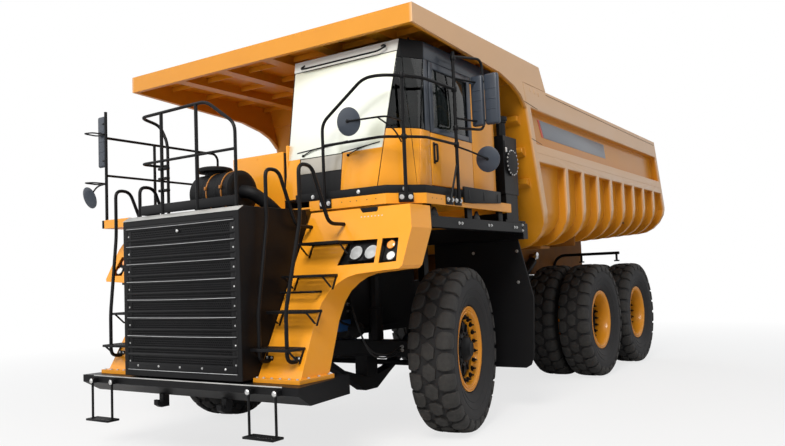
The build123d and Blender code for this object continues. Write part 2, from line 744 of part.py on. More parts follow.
def deck_plan(inset):
    """The outline of one side deck, pulled in by inset from its open edges."""
    i = inset
    return [(CENTRE_DECK_HALF, DECK_FRONT_Y + i), (DECK_CORNER_X - i * 0.4, DECK_FRONT_Y + i),
            (DECK_HALF - i, DECK_CORNER_Y + i * 0.4), (DECK_HALF - i, DECK_BACK_Y - i),
            (CENTRE_DECK_HALF, DECK_BACK_Y - i)]


def build_deck():
    low = DECK_TOP - SKIRT_H
    top = DECK_TOP
    half = CENTRE_DECK_HALF
    plate = profile_z(deck_plan(0), top - DECK_T, top)
    skirt = profile_z(deck_plan(0), low, top) - profile_z(deck_plan(SKIRT_T), low - 1, top + 1)
    side = fused([plate, skirt])
    ledge = block(-DECK_HALF, -LEDGE_IN_X, LEDGE_FRONT_Y, DECK_FRONT_Y + 60, low, top)
    corner = block(-DECK_HALF, -DECK_CORNER_X, DECK_FRONT_Y, DECK_CORNER_Y, low, top)
    step = top - CENTRE_DECK_STEP
    front = HOOD_BACK_Y + 65
    centre = block(-half - 5, half + 5, front, DECK_BACK_Y, step - DECK_T, step)
    joins = [block(s * (half - 10), s * (half + 20), front, DECK_BACK_Y, step - DECK_T, top) for s in (1, -1)]
    deck = fused([*mirrored(side), ledge, corner, centre, *joins])
    write("deck", deck)
    return deck


def build_deck_frame():
    solids = []
    h = SIDE_BEAM / 2
    post_top = DECK_TOP - DECK_T - REST_GAP
    rail_top = RAIL_Z + RAIL_H + REST_GAP
    beam_back = CROSSBEAM_Y - CROSSBEAM_L / 2 - REST_GAP
    feet = []
    for s in (1, -1):
        x = s * SIDE_BEAM_X
        low = SIDE_BEAM_TOP - SIDE_BEAM
        side = [block(x - h, x + h, LEG_TOP_Y + 390, beam_back, low, SIDE_BEAM_TOP)]
        for y in (-900, 0, 800):
            side.append(block(x - 20, x + 20, y - 60, y + 60, SIDE_BEAM_TOP - 5, post_top))
        solids.append(fused(side))
        x0 = s * (RAIL_IN + 10)
        x1 = s * (RAIL_IN + RAIL_W - 10)
        feet.append(block(x0, x1, CROSSBEAM_Y - 60, CROSSBEAM_Y + 60, rail_top, CROSSBEAM_Z + 10))
        solids.append(block(x0, x1, -560, -440, rail_top, post_top - CENTRE_DECK_STEP))
    h = CROSSBEAM_L / 2
    end = SIDE_BEAM_X + 60
    feet.append(block(-end, end, CROSSBEAM_Y - h, CROSSBEAM_Y + h, CROSSBEAM_Z, CROSSBEAM_Z + CROSSBEAM_H))
    solids.append(fused(feet))
    write("deck_frame", *solids)

    top = CROSSBEAM_Z - REST_GAP
    flap = [(700, 560), (1980, 560), (2050, 600), (2090, 700), (2130, 1450), (1950, top), (700, top)]
    write("front_mudguards", *mirrored(profile_y(flap, CROSSBEAM_Y - 12, CROSSBEAM_Y + 12)))


def beyond_corner(x, distance):
    """The Y of a point that lies this far outside the deck's cut corner."""
    dx = DECK_HALF - DECK_CORNER_X
    dy = DECK_CORNER_Y - DECK_FRONT_Y
    return DECK_FRONT_Y + (dy * (x - DECK_CORNER_X) - distance * math.hypot(dx, dy)) / dx


def near_rail(deck):
    """The rail around the left deck's corner, with the tall guard loop at the mirror post."""
    foot = DECK_TOP - SKIRT_H / 2
    top = RAIL_TOP
    mid = RAIL_MID
    gap = POST_R + REST_GAP
    out = DECK_HALF + gap
    front = DECK_FRONT_Y - gap
    x = CORNER_POST_X
    y = beyond_corner(x, gap)
    back = MIRROR_POST_Y
    loop = [(out, back, 3360), (out + 85, 60, 3400), (out + 85, 60, 4215), (out, back, 4150)]
    corner = DECK_CORNER_Y
    hoop = [(1080, front, foot), (1080, front, 3420), (1625, front, top), (1830, front, top), (x, y, top)]
    side = [(x, y, top - 5), (out, corner, top - 20), (out, back, top - 20)]
    middle = [(1080, front, mid), (1830, front, mid), (x, y, mid), (out, corner, mid), (out, back, mid)]
    pieces = [
        pipe(hoop, RAIL_R),
        pipe(side, RAIL_R),
        pipe(middle, RAIL_R - 2),
        prism(POST_R, (x, y, foot + 40), (x, y, top + 30)),
        prism(POST_R, (out, back, foot), (out, back, 4200)),
        prism(14, (out, back - 180, foot), (out, back - 20, 2950), 6),
        pipe(loop, 14),
        block(1010, 1150, front, DECK_FRONT_Y, foot - 50, foot + 50),
        block(DECK_HALF, out, back - 260, back + 60, foot - 45, foot + 45),
        prism(12, (x, y, foot + 50), (x - 40, y + 35, foot + 20), 6),
    ]
    return largest(fused(pieces) - deck)


def far_rail():
    """The rail along the right deck, ending in the mirror post at the ledge."""
    foot = DECK_TOP - SKIRT_H / 2
    top = RAIL_TOP - 150
    x = -DECK_HALF - POST_R - REST_GAP
    front = FAR_POST_Y
    back = FAR_RAIL_END_Y
    pieces = [
        pipe([(x, front, top), (x, back - 60, top), (x, back, top - 60), (x, back, foot)], RAIL_R),
        pipe([(x, front, RAIL_MID), (x, back, RAIL_MID)], RAIL_R - 2),
        prism(POST_R, (x, front, foot), (x, front, top + 330)),
        prism(POST_R, (x, -1000, foot), (x, -1000, top - 5)),
        prism(POST_R, (x, -250, foot), (x, -250, top - 5)),
    ]
    pieces += [block(x, -DECK_HALF, y - 50, y + 50, foot - 30, foot + 45) for y in (front, -1000, -250, back)]
    return fused(pieces)


def front_rail():
    """The rail over the radiator."""
    y = GRILLE_Y + 140
    back = y + 260
    base = HOOD_TOP
    outer = [(700, y, base), (700, y, 3350), (300, y, 3630), (-720, y, 3610), (-720, back, 3560),
             (-600, back, 3350), (-600, back, base)]
    pieces = [
        pipe(outer, RAIL_R),
        pipe([(700, y, 3100), (-720, y, 3100), (-720, back, 3100), (-600, back, 3100)], RAIL_R - 2),
        prism(POST_R, (-385, y, base), (-385, y, 3612)),
        prism(POST_R, (150, y, base), (150, y, 3624)),
        block(-740, 720, y - 6, y + 6, base + 30, base + 120),
    ]
    return fused(pieces)


def build_mirrors(rails):
    out = DECK_HALF + POST_R + REST_GAP
    post = MIRROR_POST_Y
    near = [block(x, x + 170, -130, -70, 3420, 3980) for x in (out + 30, out + 215)]
    for z in (3480, 3900):
        near.append(block(out + 100, out + 300, -110, -90, z - 10, z + 10))
        near.append(prism(12, (out, post, z), (out + 110, -110, z), 6))
    near_round = [prism(140, (out + 300, -320, 2998), (out + 300, -340, 3002), 12)]
    near_round.append(prism(10, (out, post, 3160), (out + 300, -345, 3010), 6))
    far_y = FAR_POST_Y
    far = [block(-out - 200, -out - 60, far_y + 20, far_y + 70, 3300, 3950)]
    for z in (3380, 3850):
        far.append(prism(12, (-out, far_y, z), (-out - 130, far_y + 45, z), 6))
    far_round = [prism(140, (-out - 290, far_y - 40, 2915), (-out - 290, far_y - 55, 2928), 12)]
    far_round.append(prism(10, (-out, far_y, 3080), (-out - 290, far_y - 40, 2930), 6))
    knee = (CORNER_POST_X, beyond_corner(CORNER_POST_X, POST_R), 3340)
    front_round = [prism(145, (1545, -1595, 3345), (1545, -1613, 3352), 12)]
    front_round.append(pipe([knee, (CORNER_POST_X + 10, -1600, 3340), (1550, -1600, 3345)], 10))
    sets = [largest(fused(s) - rails[0] - rails[1]) for s in (near, near_round, far, far_round, front_round)]
    write("mirrors", *sets)


# Cab


def cab_shape(inset):
    """The cab's outer form, leaning at the front, pulled in by inset all round."""
    i = inset
    inner = CAB_IN + i
    outer = CAB_OUT - i
    back = CAB_BACK_Y - i
    z0 = CAB_BASE + i
    z1 = CAB_TOP - i
    i2 = inset * 0.4
    y0 = CAB_FRONT_Y + i
    y1 = CAB_TOP_FRONT_Y + i
    low = [(inner, y0), (CHAMFER_BASE_X - i2, y0), (outer, CHAMFER_BASE_Y + i2)]
    high = [(inner, y1), (CHAMFER_TOP_X - i2, y1), (outer, CHAMFER_TOP_Y + i2)]
    a, b, c = [(x, y, z0) for x, y in low]
    d, e, f = [(x, y, z1) for x, y in high]
    g, h = (outer, back, z0), (inner, back, z0)
    k, m = (outer, back, z1), (inner, back, z1)
    outlines = [(a, b, c, g, h), (d, e, f, k, m), (a, b, e, d), (b, c, e), (c, f, e)]
    outlines += [(c, g, k, f), (g, h, m, k), (h, a, d, m)]
    return Solid(Shell([make_face(Polyline(*points, close=True)).face() for points in outlines]))


def cab_windows():
    """Cutters for the windscreen, its corner pane, and the side and rear windows."""
    z0 = WINDOW_SILL
    z1 = WINDOW_HEAD
    screen = block(CAB_IN + 90, CHAMFER_BASE_X - 20, CAB_FRONT_Y - 100, CAB_TOP_FRONT_Y + 200, z0, z1)
    corner = block(CHAMFER_BASE_X + 110, CAB_OUT + 100, CAB_FRONT_Y - 200, CHAMFER_TOP_Y - 60, z0, z1)
    inner_side = block(CAB_IN - 50, CAB_IN + 100, -950, DOOR_FRONT_Y - 100, z0, z1)
    exit_pane = block(CAB_OUT - 100, CAB_OUT + 50, EXIT_FRONT_Y + 90, EXIT_BACK_Y - 110, z0, z1)
    back = block(CAB_IN + 150, CAB_OUT - 150, CAB_BACK_Y - 100, CAB_BACK_Y + 50, z0, z1)
    quarter = block(CAB_OUT - 100, CAB_OUT + 50, EXIT_BACK_Y + 110, CAB_BACK_Y - 90, z0, z1)
    return [screen, corner, inner_side, exit_pane, back, quarter]


def build_cab():
    shell = cab_shape(0) - cab_shape(CAB_WALL)
    windows = cab_windows()
    for cut in windows:
        shell -= cut
    shell -= block(CAB_IN - 50, CAB_IN + 100, DOOR_FRONT_Y, DOOR_BACK_Y, DOOR_SILL, DOOR_HEAD)
    g = DOOR_GAP
    seam = block(CAB_OUT - 10, CAB_OUT + 9, EXIT_FRONT_Y, EXIT_BACK_Y, DOOR_SILL, DOOR_HEAD)
    seam -= block(CAB_OUT - 20, CAB_OUT + 20, EXIT_FRONT_Y + g, EXIT_BACK_Y - g, DOOR_SILL + g, DOOR_HEAD - g)
    shell -= seam
    x = CAB_OUT - 5
    y = EXIT_FRONT_Y + 60
    z = WINDOW_SILL - 310
    handle = pipe([(x, y, z), (x + 50, y, z), (x + 50, y, z + 180), (x, y, z + 180)], 10)
    low = DECK_TOP + REST_GAP
    feet = []
    for y in (-900, 600):
        feet += [block(x - 60, x + 60, y - 60, y + 60, low, CAB_BASE + 5) for x in (950, 1900)]
    write("cab_shell", fused([shell, handle, *feet]))
    pane = cab_shape(GLASS_INSET) - cab_shape(GLASS_INSET + GLASS_T)
    write("cab_glass", *[pane & cut for cut in windows])


def build_door():
    """The operator's door in the cab's inner side, reached over the centre deck."""
    g = DOOR_GAP
    x = CAB_IN
    leaf = block(x, x + CAB_WALL, DOOR_FRONT_Y + g, DOOR_BACK_Y - g, DOOR_SILL + g, DOOR_HEAD - g)
    y0 = DOOR_FRONT_Y + 90
    y1 = DOOR_BACK_Y - 110
    leaf -= block(x - 10, x + CAB_WALL + 10, y0, y1, WINDOW_SILL, WINDOW_HEAD)
    y = DOOR_FRONT_Y + 60
    z = WINDOW_SILL - 310
    handle = pipe([(x + 5, y, z), (x - 45, y, z), (x - 45, y, z + 180), (x + 5, y, z + 180)], 10)
    pieces = [leaf, handle]
    for z in (DOOR_SILL + 130, DOOR_HEAD - 230):
        pieces.append(rod_z(HINGE_R, z - 50, z + 50, HINGE_X, HINGE_Y))
        pieces.append(block(HINGE_X, x + 5, HINGE_Y - 60, DOOR_BACK_Y - g, z - 40, z + 40))
        pieces.append(block(HINGE_X, x - REST_GAP, HINGE_Y - 60, HINGE_Y, z - 40, z + 40))
    write("cab_door", fused(pieces))
    x = CAB_IN + GLASS_INSET
    write("door_glass", block(x, x + GLASS_T, y0, y1, WINDOW_SILL, WINDOW_HEAD))


def build_cab_inside():
    floor = CAB_BASE + CAB_WALL
    x = SEAT_X
    base = block(x - 180, x + 180, -300, 120, floor + REST_GAP, floor + 300)
    cushion = block(x - 260, x + 260, -380, 150, floor + 290, floor + 430)
    back = [(90, floor + 420), (220, floor + 420), (330, floor + 1080), (220, floor + 1080)]
    write("seat", fused([base, cushion, profile_x(back, x - 250, x + 250)]))
    y = CAB_FRONT_Y
    z = floor + REST_GAP
    panel = [(y + 70, z), (y + 280, z), (y + 420, z + 480), (y + 400, z + 620), (y + 150, z + 630)]
    dash = profile_x(panel, CAB_IN + 60, CHAMFER_BASE_X - 40)
    column = prism(30, (x, y + 380, floor + 500), (x, y + 613, floor + 755), 6)
    wheel = Plane(origin=(x, y + 610, floor + 751), z_dir=(0, 0.674, 0.738))
    rim = extrude(wheel * (RegularPolygon(215, 12) - RegularPolygon(190, 12)), 24)
    spokes = wheel * (Box(400, 30, 20) + Box(30, 400, 20))
    write("dashboard", fused([dash, column, rim, spokes]))


# Equipment on the deck and under it


def build_equipment():
    floor = DECK_TOP - CENTRE_DECK_STEP + REST_GAP
    cabinet = block(-430, 370, -1250, -500, floor, 3235)
    x = DECK_HALF + REST_GAP
    box = block(x, x + 30, -340, 860, DECK_TOP - SKIRT_H + 10, DECK_TOP + 120)
    write("equipment_boxes", cabinet, box)

    x = -150
    y = -1690
    z = HOOD_TOP + 250
    pieces = [prism(235, (x - 310, y, z), (x + 310, y, z), 12)]
    pieces.append(prism(90, (x - 200, y, z + 150), (x - 200, y, z + 320)))
    pieces.append(prism(250, (x - 200, y, z + 305), (x - 200, y, z + 395), 12))
    low = HOOD_TOP + REST_GAP
    pieces += [block(x + d - 40, x + d + 40, y - 150, y + 150, low, z - 150) for d in (-180, 180)]
    write("air_cleaner", fused(pieces))

    stand = CROSSBEAM_Z + CROSSBEAM_H + REST_GAP
    pieces = [block(1480, 2050, DECK_BACK_Y + 5, 1300, DECK_TOP + 135, 3480)]
    pieces.append(block(1500, 2040, DECK_BACK_Y + 5, CROSSBEAM_Y + 60, stand, stand + 30))
    pieces.append(block(1500, 2040, 940, 1280, stand, DECK_TOP + 150))
    pieces.append(prism(165, (2040, 1100, 3150), (2075, 1100, 3150), 12))
    pieces.append(prism(60, (1960, 1050, 3470), (1960, 1050, 3740)))
    pieces.append(prism(75, (1960, 1050, 3660), (1960, 1050, 3741)))
    write("oil_tank", fused(pieces))


def build_underbody():
    engine = block(-RAIL_IN + 20, RAIL_IN - 20, -1250, 500, 1150, 2350)
    gearbox = block(-300, 300, 490, 1300, 1200, 1750)
    x = RAIL_IN - REST_GAP
    feet = []
    for y in (-900, 300):
        feet += [block(s * (RAIL_IN - 30), s * x, y - 80, y + 80, RAIL_Z + 40, RAIL_Z + 200) for s in (1, -1)]
    write("engine", fused([engine, gearbox, *feet]))
    x = RAIL_IN + RAIL_W + REST_GAP
    tank = [prism(330, (-1200, 2000, 1320), (-1200, 3500, 1320), 12)]
    tank += [block(-x, -1000, y - 40, y + 40, RAIL_Z + 60, RAIL_Z + 220) for y in (2300, 3200)]
    cans = [prism(130, (1100, 2000, z), (1100, 3100, z)) for z in (1180, 1500)]
    for y in (2250, 2850):
        cans.append(block(x, 1080, y - 30, y + 30, RAIL_Z + 30, 1500))
        cans.append(block(1060, 1140, y - 30, y + 30, 1250, 1450))
    write("tanks", fused(tank), fused(cans))


# Bed


def head_y(z):
    """The Y of the headboard's front face at height z."""
    return HEAD_LOW_Y + (HEAD_TOP_Y - HEAD_LOW_Y) * (z - HEAD_LOW_Z) / (BED_TOP - HEAD_LOW_Z)


def rib_floor(y):
    """The height of the underframe's top under the bed's ribs."""
    return RIB_BOTTOM + BED_SLOPE * (y - RIB_BOTTOM_Y) - REST_GAP


def bed_tube(depth, top):
    """The bed's round-cornered section, depth inside the ribs' face, drawn along the sloping floor."""
    y0 = 1000
    w = BED_OUT - depth
    r = RIB_RADIUS - depth
    floor = RIB_BOTTOM + BED_SLOPE * (y0 - RIB_BOTTOM_Y) + depth
    points = [(w, top)]
    for i in range(CORNER_STEPS + 1):
        a = math.radians(90 * i / CORNER_STEPS)
        points.append((w - r + r * math.cos(a), floor + r - r * math.sin(a)))
    points += [(-x, z) for x, z in reversed(points)]
    face = Pos(0, y0, 0) * make_face(Plane.XZ * Polyline(*points, close=True))
    direction = Vector(0, 1, BED_SLOPE)
    return extrude(face, 7600 * direction.length, dir=direction.normalized())


def bed_body():
    """The bed as a solid: a tub with rails, ribs and bands at its ends."""
    wide = BED_OUT + 9
    top = BED_TOP + 50
    tail_y = BED_REAR_LOW_Y
    tail_z = BED_REAR_LOW_Z
    half = RIB_LENGTH / 2
    bands = [block(-wide, wide, y - half, y + half, 1900, RAIL_MID_TOP - 10) for y in RIB_YS]
    bands.append(block(-wide, wide, 1000, 8400, BED_TOP - RAIL_TOP_H, top))
    bands.append(block(-wide, wide, 1000, 8400, RAIL_MID_BOTTOM, RAIL_MID_TOP))
    back = BED_REAR_TOP_Y
    rear = [(back - 120, top), (back + 60, top), (tail_y + 60, tail_z), (tail_y - 300, 1900),
            (tail_y - 500, 1900), (tail_y - 120, tail_z)]
    bands.append(profile_x(rear, -wide, wide))
    y0 = head_y(1900)
    y1 = head_y(top)
    front = [(y1 - 20, top), (y1 + 130, top), (y0 + 130, 1900), (y0 - 20, 1900)]
    bands.append(profile_x(front, -wide, wide))
    frame = bands[0].fuse(*bands[1:]) & bed_tube(0, top)
    ends = [(y0, 1900), (HEAD_TOP_Y, BED_TOP), (back, BED_TOP), (tail_y, tail_z), (tail_y - 350, 1900)]
    return bed_tube(RIB_DEPTH, top).fuse(frame) & profile_x(ends, -wide, wide)


def build_bed():
    outer = bed_body()
    t = BED_WALL
    top = BED_TOP + 60
    ends = [(head_y(1900) + t, 1900), (head_y(top) + t, top), (8500, top), (8500, 1900)]
    room = bed_tube(RIB_DEPTH + t, top) & profile_x(ends, -BED_OUT, BED_OUT)
    ledges = []
    x = BED_OUT - RIB_DEPTH - 10
    for z in HEAD_LEDGE_ZS:
        y = head_y(z) - HEAD_LEDGE
        outline = [(head_y(z - 70) + 10, z - 70), (y, z - 20), (y, z + 50), (head_y(z + 50) + 10, z + 50)]
        ledges.append(profile_x(outline, -x, x))
    write("bed_shell", outer.fuse(*ledges) - room)
    return outer


def build_canopy():
    top = CANOPY_TOP
    low = top - CANOPY_LIP
    gap = BED_TOP + REST_GAP
    wide = BED_OUT
    plates = []
    side = [(CANOPY_FRONT_Y, low), (CANOPY_FRONT_Y, top), (CANOPY_BACK_Y, top), (CANOPY_BACK_Y + 200, gap),
            (HEAD_TOP_Y - 10, gap), (head_y(3890) - 10, 3890), (1345, 3960), (1250, 4035), (1050, 4115),
            (660, 4200)]
    for s in (1, -1):
        plates.append(profile_x(side, s * wide, s * (wide - CANOPY_SIDE_T)))
    plates.append(block(-wide, wide, CANOPY_FRONT_Y, CANOPY_FRONT_Y + 60, low, top))
    plates.append(block(-wide, wide, CANOPY_FRONT_Y, CANOPY_BACK_Y, top - CANOPY_PLATE_T, top))
    y = HEAD_TOP_Y
    high = head_y(top)
    plates.append(profile_x([(y - 10, gap), (y + 20, gap), (high + 20, top), (high - 10, top)], -wide, wide))
    beam_z = top - CANOPY_PLATE_T - BEAM_H
    for x in BEAM_XS:
        plates.append(block(x - BEAM_W / 2, x + BEAM_W / 2, CANOPY_FRONT_Y, HEAD_TOP_Y - 60, beam_z, top - 5))
    write("bed_canopy", fused(plates))


def build_underframe(outer):
    pieces = []
    front = LONGERON_FRONT_Y
    low = LONGERON_Z
    rear = LONGERON_BACK_Y
    longeron = [(front, 1950), (front + 400, low), (rear, low), (rear, rib_floor(rear)),
                (front, rib_floor(front))]
    y0 = PIVOT_Y - 90
    y1 = PIVOT_Y + 90
    ear = [(y0, PIVOT_Z), (y1, PIVOT_Z), (y1, low + 40), (y0, low + 40)]
    for s in (1, -1):
        pieces.append(profile_x(longeron, s * RAIL_IN, s * (RAIL_IN + LONGERON_W)))
        x0 = s * (RAIL_IN + RAIL_W + 10)
        x1 = x0 + s * EAR_T
        pieces.append(profile_x(ear, x0, x1))
        pieces.append(prism(95, (x0, PIVOT_Y, PIVOT_Z), (x1, PIVOT_Y, PIVOT_Z)))
        pin_x = s * (RAIL_IN + LONGERON_W - 10)
        pieces.append(rod_x(HOIST_PIN_R, pin_x, s * (HOIST_X - HOIST_EYE - PLAY), *HOIST_HIGH))
    for y in (2250, 5200, 7350):
        pieces.append(block(-RAIL_IN - 20, RAIL_IN + 20, y - 60, y + 60, low + 120, rib_floor(y) - 20))
    x = CHEEK_X
    cheek = [(-x, SHELF_Z), (x, SHELF_Z), (x + 10, 2420), (x - 40, 2700), (40 - x, 2700), (-x - 10, 2420)]
    pieces.append(profile_y(cheek, CHEEK_Y - 14, CHEEK_Y + 14) - outer)
    pieces.append(block(-x, x, 2100, 2400, SHELF_Z - 55, SHELF_Z - 20))
    under = fused(pieces)
    for s in (1, -1):
        x = s * (RAIL_IN + RAIL_W)
        under -= bore_x(PIVOT_R, x, x + s * 100, PIVOT_Y, PIVOT_Z)
    write("bed_underframe", largest(under))


def build_hoists():
    low_y, low_z = HOIST_LOW
    high_y, high_z = HOIST_HIGH
    length = math.hypot(high_y - low_y, high_z - low_z)
    lean = math.degrees(math.atan2(high_z - low_z, high_y - low_y))

    barrel = prism(HOIST_PIN_R + 30, (-40, 0, 0), (40, 0, 0))
    barrel += prism(HOIST_BARREL_R, (0, 0, 50), (0, 0, length - 180), PIN_SIDES)
    barrel -= bore_x(HOIST_PIN_R, -60, 60, 0, 0)
    barrel -= bore_z(HOIST_STAGE_R, 100, length, 0, 0)
    stage = rod_z(HOIST_STAGE_R, 110, length - 140, 0, 0) - bore_z(HOIST_ROD_R, 140, length, 0, 0)
    rod = rod_z(HOIST_ROD_R, 150, length - 40, 0, 0)
    rod += prism(HOIST_PIN_R + 25, (-HOIST_EYE, 0, length), (HOIST_EYE, 0, length))
    for name, shape in (("hoist_barrels", barrel), ("hoist_stages", stage), ("hoist_rods", rod)):
        write(name, *[Pos(s * HOIST_X, low_y, low_z) * Rot(lean - 90, 0, 0) * shape for s in (1, -1)])


def main():
    build_wheels()
    build_front_axle()
    build_steering()
    build_frame()
    build_rear_axles()
    build_springs()
    build_bumper()
    build_hanging_steps()
    build_radiator()
    leg = build_legs()
    build_stairs(leg)
    deck = build_deck()
    build_deck_frame()
    rails = [near_rail(deck), far_rail()]
    write("guard_rails", *rails, front_rail())
    build_mirrors(rails)
    build_cab()
    build_door()
    build_cab_inside()
    build_equipment()
    build_underbody()
    outer = build_bed()
    build_canopy()
    build_underframe(outer)
    build_hoists()


main()
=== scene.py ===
# %% [markdown]
# # A mining dump truck, dressed for the camera
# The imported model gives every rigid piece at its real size, with few faces. This lesson builds
# the looks around it: tyres with their tread, a painted bed, a glazed cab, rails and lamps.
# Each step says what the real piece is, how it could be made, and why this way was chosen.
# The sizes of pieces are millimetres in the truck's own frame, as a drawing would give them:
# the front axle is at Y = 0, the truck's front faces -Y and its left side is +X.

# %% Load the frame and set the units
import bpy
import bmesh
import math
from mathutils import Matrix, Vector


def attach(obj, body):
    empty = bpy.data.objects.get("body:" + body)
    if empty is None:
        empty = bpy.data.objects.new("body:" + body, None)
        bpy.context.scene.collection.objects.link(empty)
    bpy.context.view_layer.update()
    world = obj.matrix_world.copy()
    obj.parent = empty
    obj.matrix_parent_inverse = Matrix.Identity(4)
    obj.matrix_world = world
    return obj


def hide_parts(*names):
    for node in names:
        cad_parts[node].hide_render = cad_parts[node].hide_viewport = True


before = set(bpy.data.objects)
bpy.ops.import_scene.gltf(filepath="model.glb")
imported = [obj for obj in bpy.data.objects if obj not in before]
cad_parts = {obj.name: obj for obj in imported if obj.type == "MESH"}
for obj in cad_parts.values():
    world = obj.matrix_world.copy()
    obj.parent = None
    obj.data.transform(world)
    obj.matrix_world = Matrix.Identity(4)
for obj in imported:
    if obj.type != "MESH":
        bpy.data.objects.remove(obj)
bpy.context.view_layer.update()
FRONT_AXLE_Y = -2745
TO_SCENE = Matrix.Scale(0.001, 4) @ Matrix.Translation((0, FRONT_AXLE_Y, 0))
SIDES = {"left": 1, "right": -1}


def link(name, data):
    """Puts a new object that holds this data into the scene."""
    thing = bpy.data.objects.new(name, data)
    bpy.context.scene.collection.objects.link(thing)
    return thing


print("nodes from the packed model:", len(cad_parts))

# %% [markdown]
# The camera comes first, because it decides which details are worth their time. Its place was
# worked out from the wheels, which are circles of one known size, so the render can be laid
# over the photograph.

# %% Camera
YAW, TILT, ROLL = (math.radians(angle) for angle in (33.605, 3.975, 2.225))
CAMERA_PLACE = (6.042, -7.641 + FRONT_AXLE_Y / 1000, 1.793)
PICTURE_WIDTH = 785
FOCAL_PIXELS = 760.886
SENSOR_WIDTH = 36
forward = Vector((-math.sin(YAW) * math.cos(TILT), math.cos(YAW) * math.cos(TILT), math.sin(TILT)))
level = Vector((math.cos(YAW), math.sin(YAW), 0))
upright = level.cross(forward)
right = level * math.cos(ROLL) - upright * math.sin(ROLL)
up = level * math.sin(ROLL) + upright * math.cos(ROLL)
camera = link("camera", bpy.data.cameras.new("camera"))
camera.data.lens = SENSOR_WIDTH * FOCAL_PIXELS / PICTURE_WIDTH
camera.data.sensor_width = SENSOR_WIDTH
camera.data.clip_end = 200
camera.matrix_world = Matrix.Translation(CAMERA_PLACE) @ Matrix((right, up, -forward)).transposed().to_4x4()
bpy.context.scene.camera = camera
print("lens", round(camera.data.lens, 2), "mm")

# %% [markdown]
# Every material, and the sky too, is a small graph of nodes. One helper adds a node and fills
# its inputs, each with a plain value or with the output that feeds it.

# %% A helper for node graphs
def feed(tree, node, inputs):
    """Fills a node's inputs with values, sockets or the first output of other nodes."""
    for name, value in inputs.items():
        if isinstance(value, bpy.types.Node):
            value = value.outputs[0]
        if isinstance(value, bpy.types.NodeSocket):
            tree.links.new(value, node.inputs[name])
        else:
            node.inputs[name].default_value = value


def add_node(tree, kind, inputs=None, **settings):
    """Adds a shader node with its settings and inputs."""
    node = tree.nodes.new("ShaderNode" + kind)
    for name, value in settings.items():
        setattr(node, name, value)
    feed(tree, node, inputs or {})
    return node


def object_place(tree):
    """The socket that gives each point's place in its own object."""
    return add_node(tree, "TexCoord").outputs["Object"]


# %% [markdown]
# The light is a plain studio. A pale sky lights the truck from all round, a large soft lamp
# stands before the truck as the sun does in the photograph, and others lift the front and the
# sides. The camera and mirrors see a white backdrop, but that white adds no light.

# %% Sky and lamps
bpy.context.scene.view_settings.view_transform = "Standard"
WHITE = (1, 1, 1, 1)
world = bpy.data.worlds.new("studio")
bpy.context.scene.world = world
world.use_nodes = True
sky = world.node_tree
sky.nodes.clear()
sky_light = add_node(sky, "Background", {"Color": (0.86, 0.92, 1.0, 1), "Strength": 0.30})
backdrop = add_node(sky, "Background", {"Color": WHITE, "Strength": 1.0})
ray = add_node(sky, "LightPath").outputs
direct = add_node(sky, "Math", {0: ray["Is Camera Ray"], 1: ray["Is Glossy Ray"]}, operation="ADD")
seen = add_node(sky, "Math", {0: direct, 1: ray["Is Transmission Ray"]}, operation="ADD", use_clamp=True)
sky_mix = add_node(sky, "MixShader", {"Fac": seen, 1: sky_light, 2: backdrop})
add_node(sky, "OutputWorld", {"Surface": sky_mix})


def add_lamp(name, place, aim, power, size, colour=(1, 1, 1)):
    """Hangs a square soft lamp at a place and points it at the aim, both in metres."""
    lamp = link(name, bpy.data.lights.new(name, "AREA"))
    lamp.data.energy = power
    lamp.data.size = size
    lamp.data.color = colour
    lamp.rotation_euler = (Vector(aim) - Vector(place)).to_track_quat("-Z", "Y").to_euler()
    lamp.location = place


add_lamp("key_lamp", (5.0, -14.5, 12.5), (0, -2.0, 1.8), 2450, 6.0, (1.0, 0.97, 0.92))
add_lamp("fill_lamp", (-9.5, -15.0, 9.0), (0, -3.0, 1.5), 620, 14.0)
add_lamp("side_lamp", (15.0, 3.0, 9.0), (1.5, 1.5, 2.0), 260, 11.0)
add_lamp("back_lamp", (-9.0, 11.0, 9.0), (0, 1.0, 2.0), 380, 8.0)
print("lamps", len(bpy.data.lights))

# %% [markdown]
# Every piece is finished the same way. Its shapes are made in millimetres, each in a bmesh of
# its own, and joined afterwards, so merging one shape's seam can't weld two neighbours that
# only touch. Then the piece is scaled to metres and rides on a body of the frame.

# %% Helpers that join shapes and finish a piece
MIRROR = Matrix.Scale(-1, 4, (1, 0, 0))


def clean(bm, gap=0.02):
    """Merges points that lie on one another and turns all faces outwards."""
    bmesh.ops.remove_doubles(bm, verts=bm.verts[:], dist=gap)
    bmesh.ops.dissolve_degenerate(bm, dist=0.005, edges=bm.edges[:])
    bmesh.ops.recalc_face_normals(bm, faces=bm.faces[:])


def join(bm, part, matrix=None):
    """Adds a finished shape to another, moved by a matrix, and leaves the shape as it was."""
    mesh = bpy.data.meshes.new("stamp")
    part.to_mesh(mesh)
    if matrix is not None:
        mesh.transform(matrix)
        if matrix.determinant() < 0:
            mesh.flip_normals()
    bm.from_mesh(mesh)
    bpy.data.meshes.remove(mesh)


def together(*shapes):
    """One shape made of several, which aren't needed again."""
    bm = bmesh.new()
    for shape in shapes:
        join(bm, shape)
        shape.free()
    return bm


def placed(spot, *shapes):
    """Copies of shapes, joined and moved by a matrix."""
    bm = bmesh.new()
    for shape in shapes:
        join(bm, shape, spot)
    return bm


def around(count, shape, phase=0.0):
    """Copies of a shape, set evenly round the X axis."""
    return together(*(placed(Matrix.Rotation(math.tau * (i + phase) / count, 4, "X"), shape)
                      for i in range(count)))


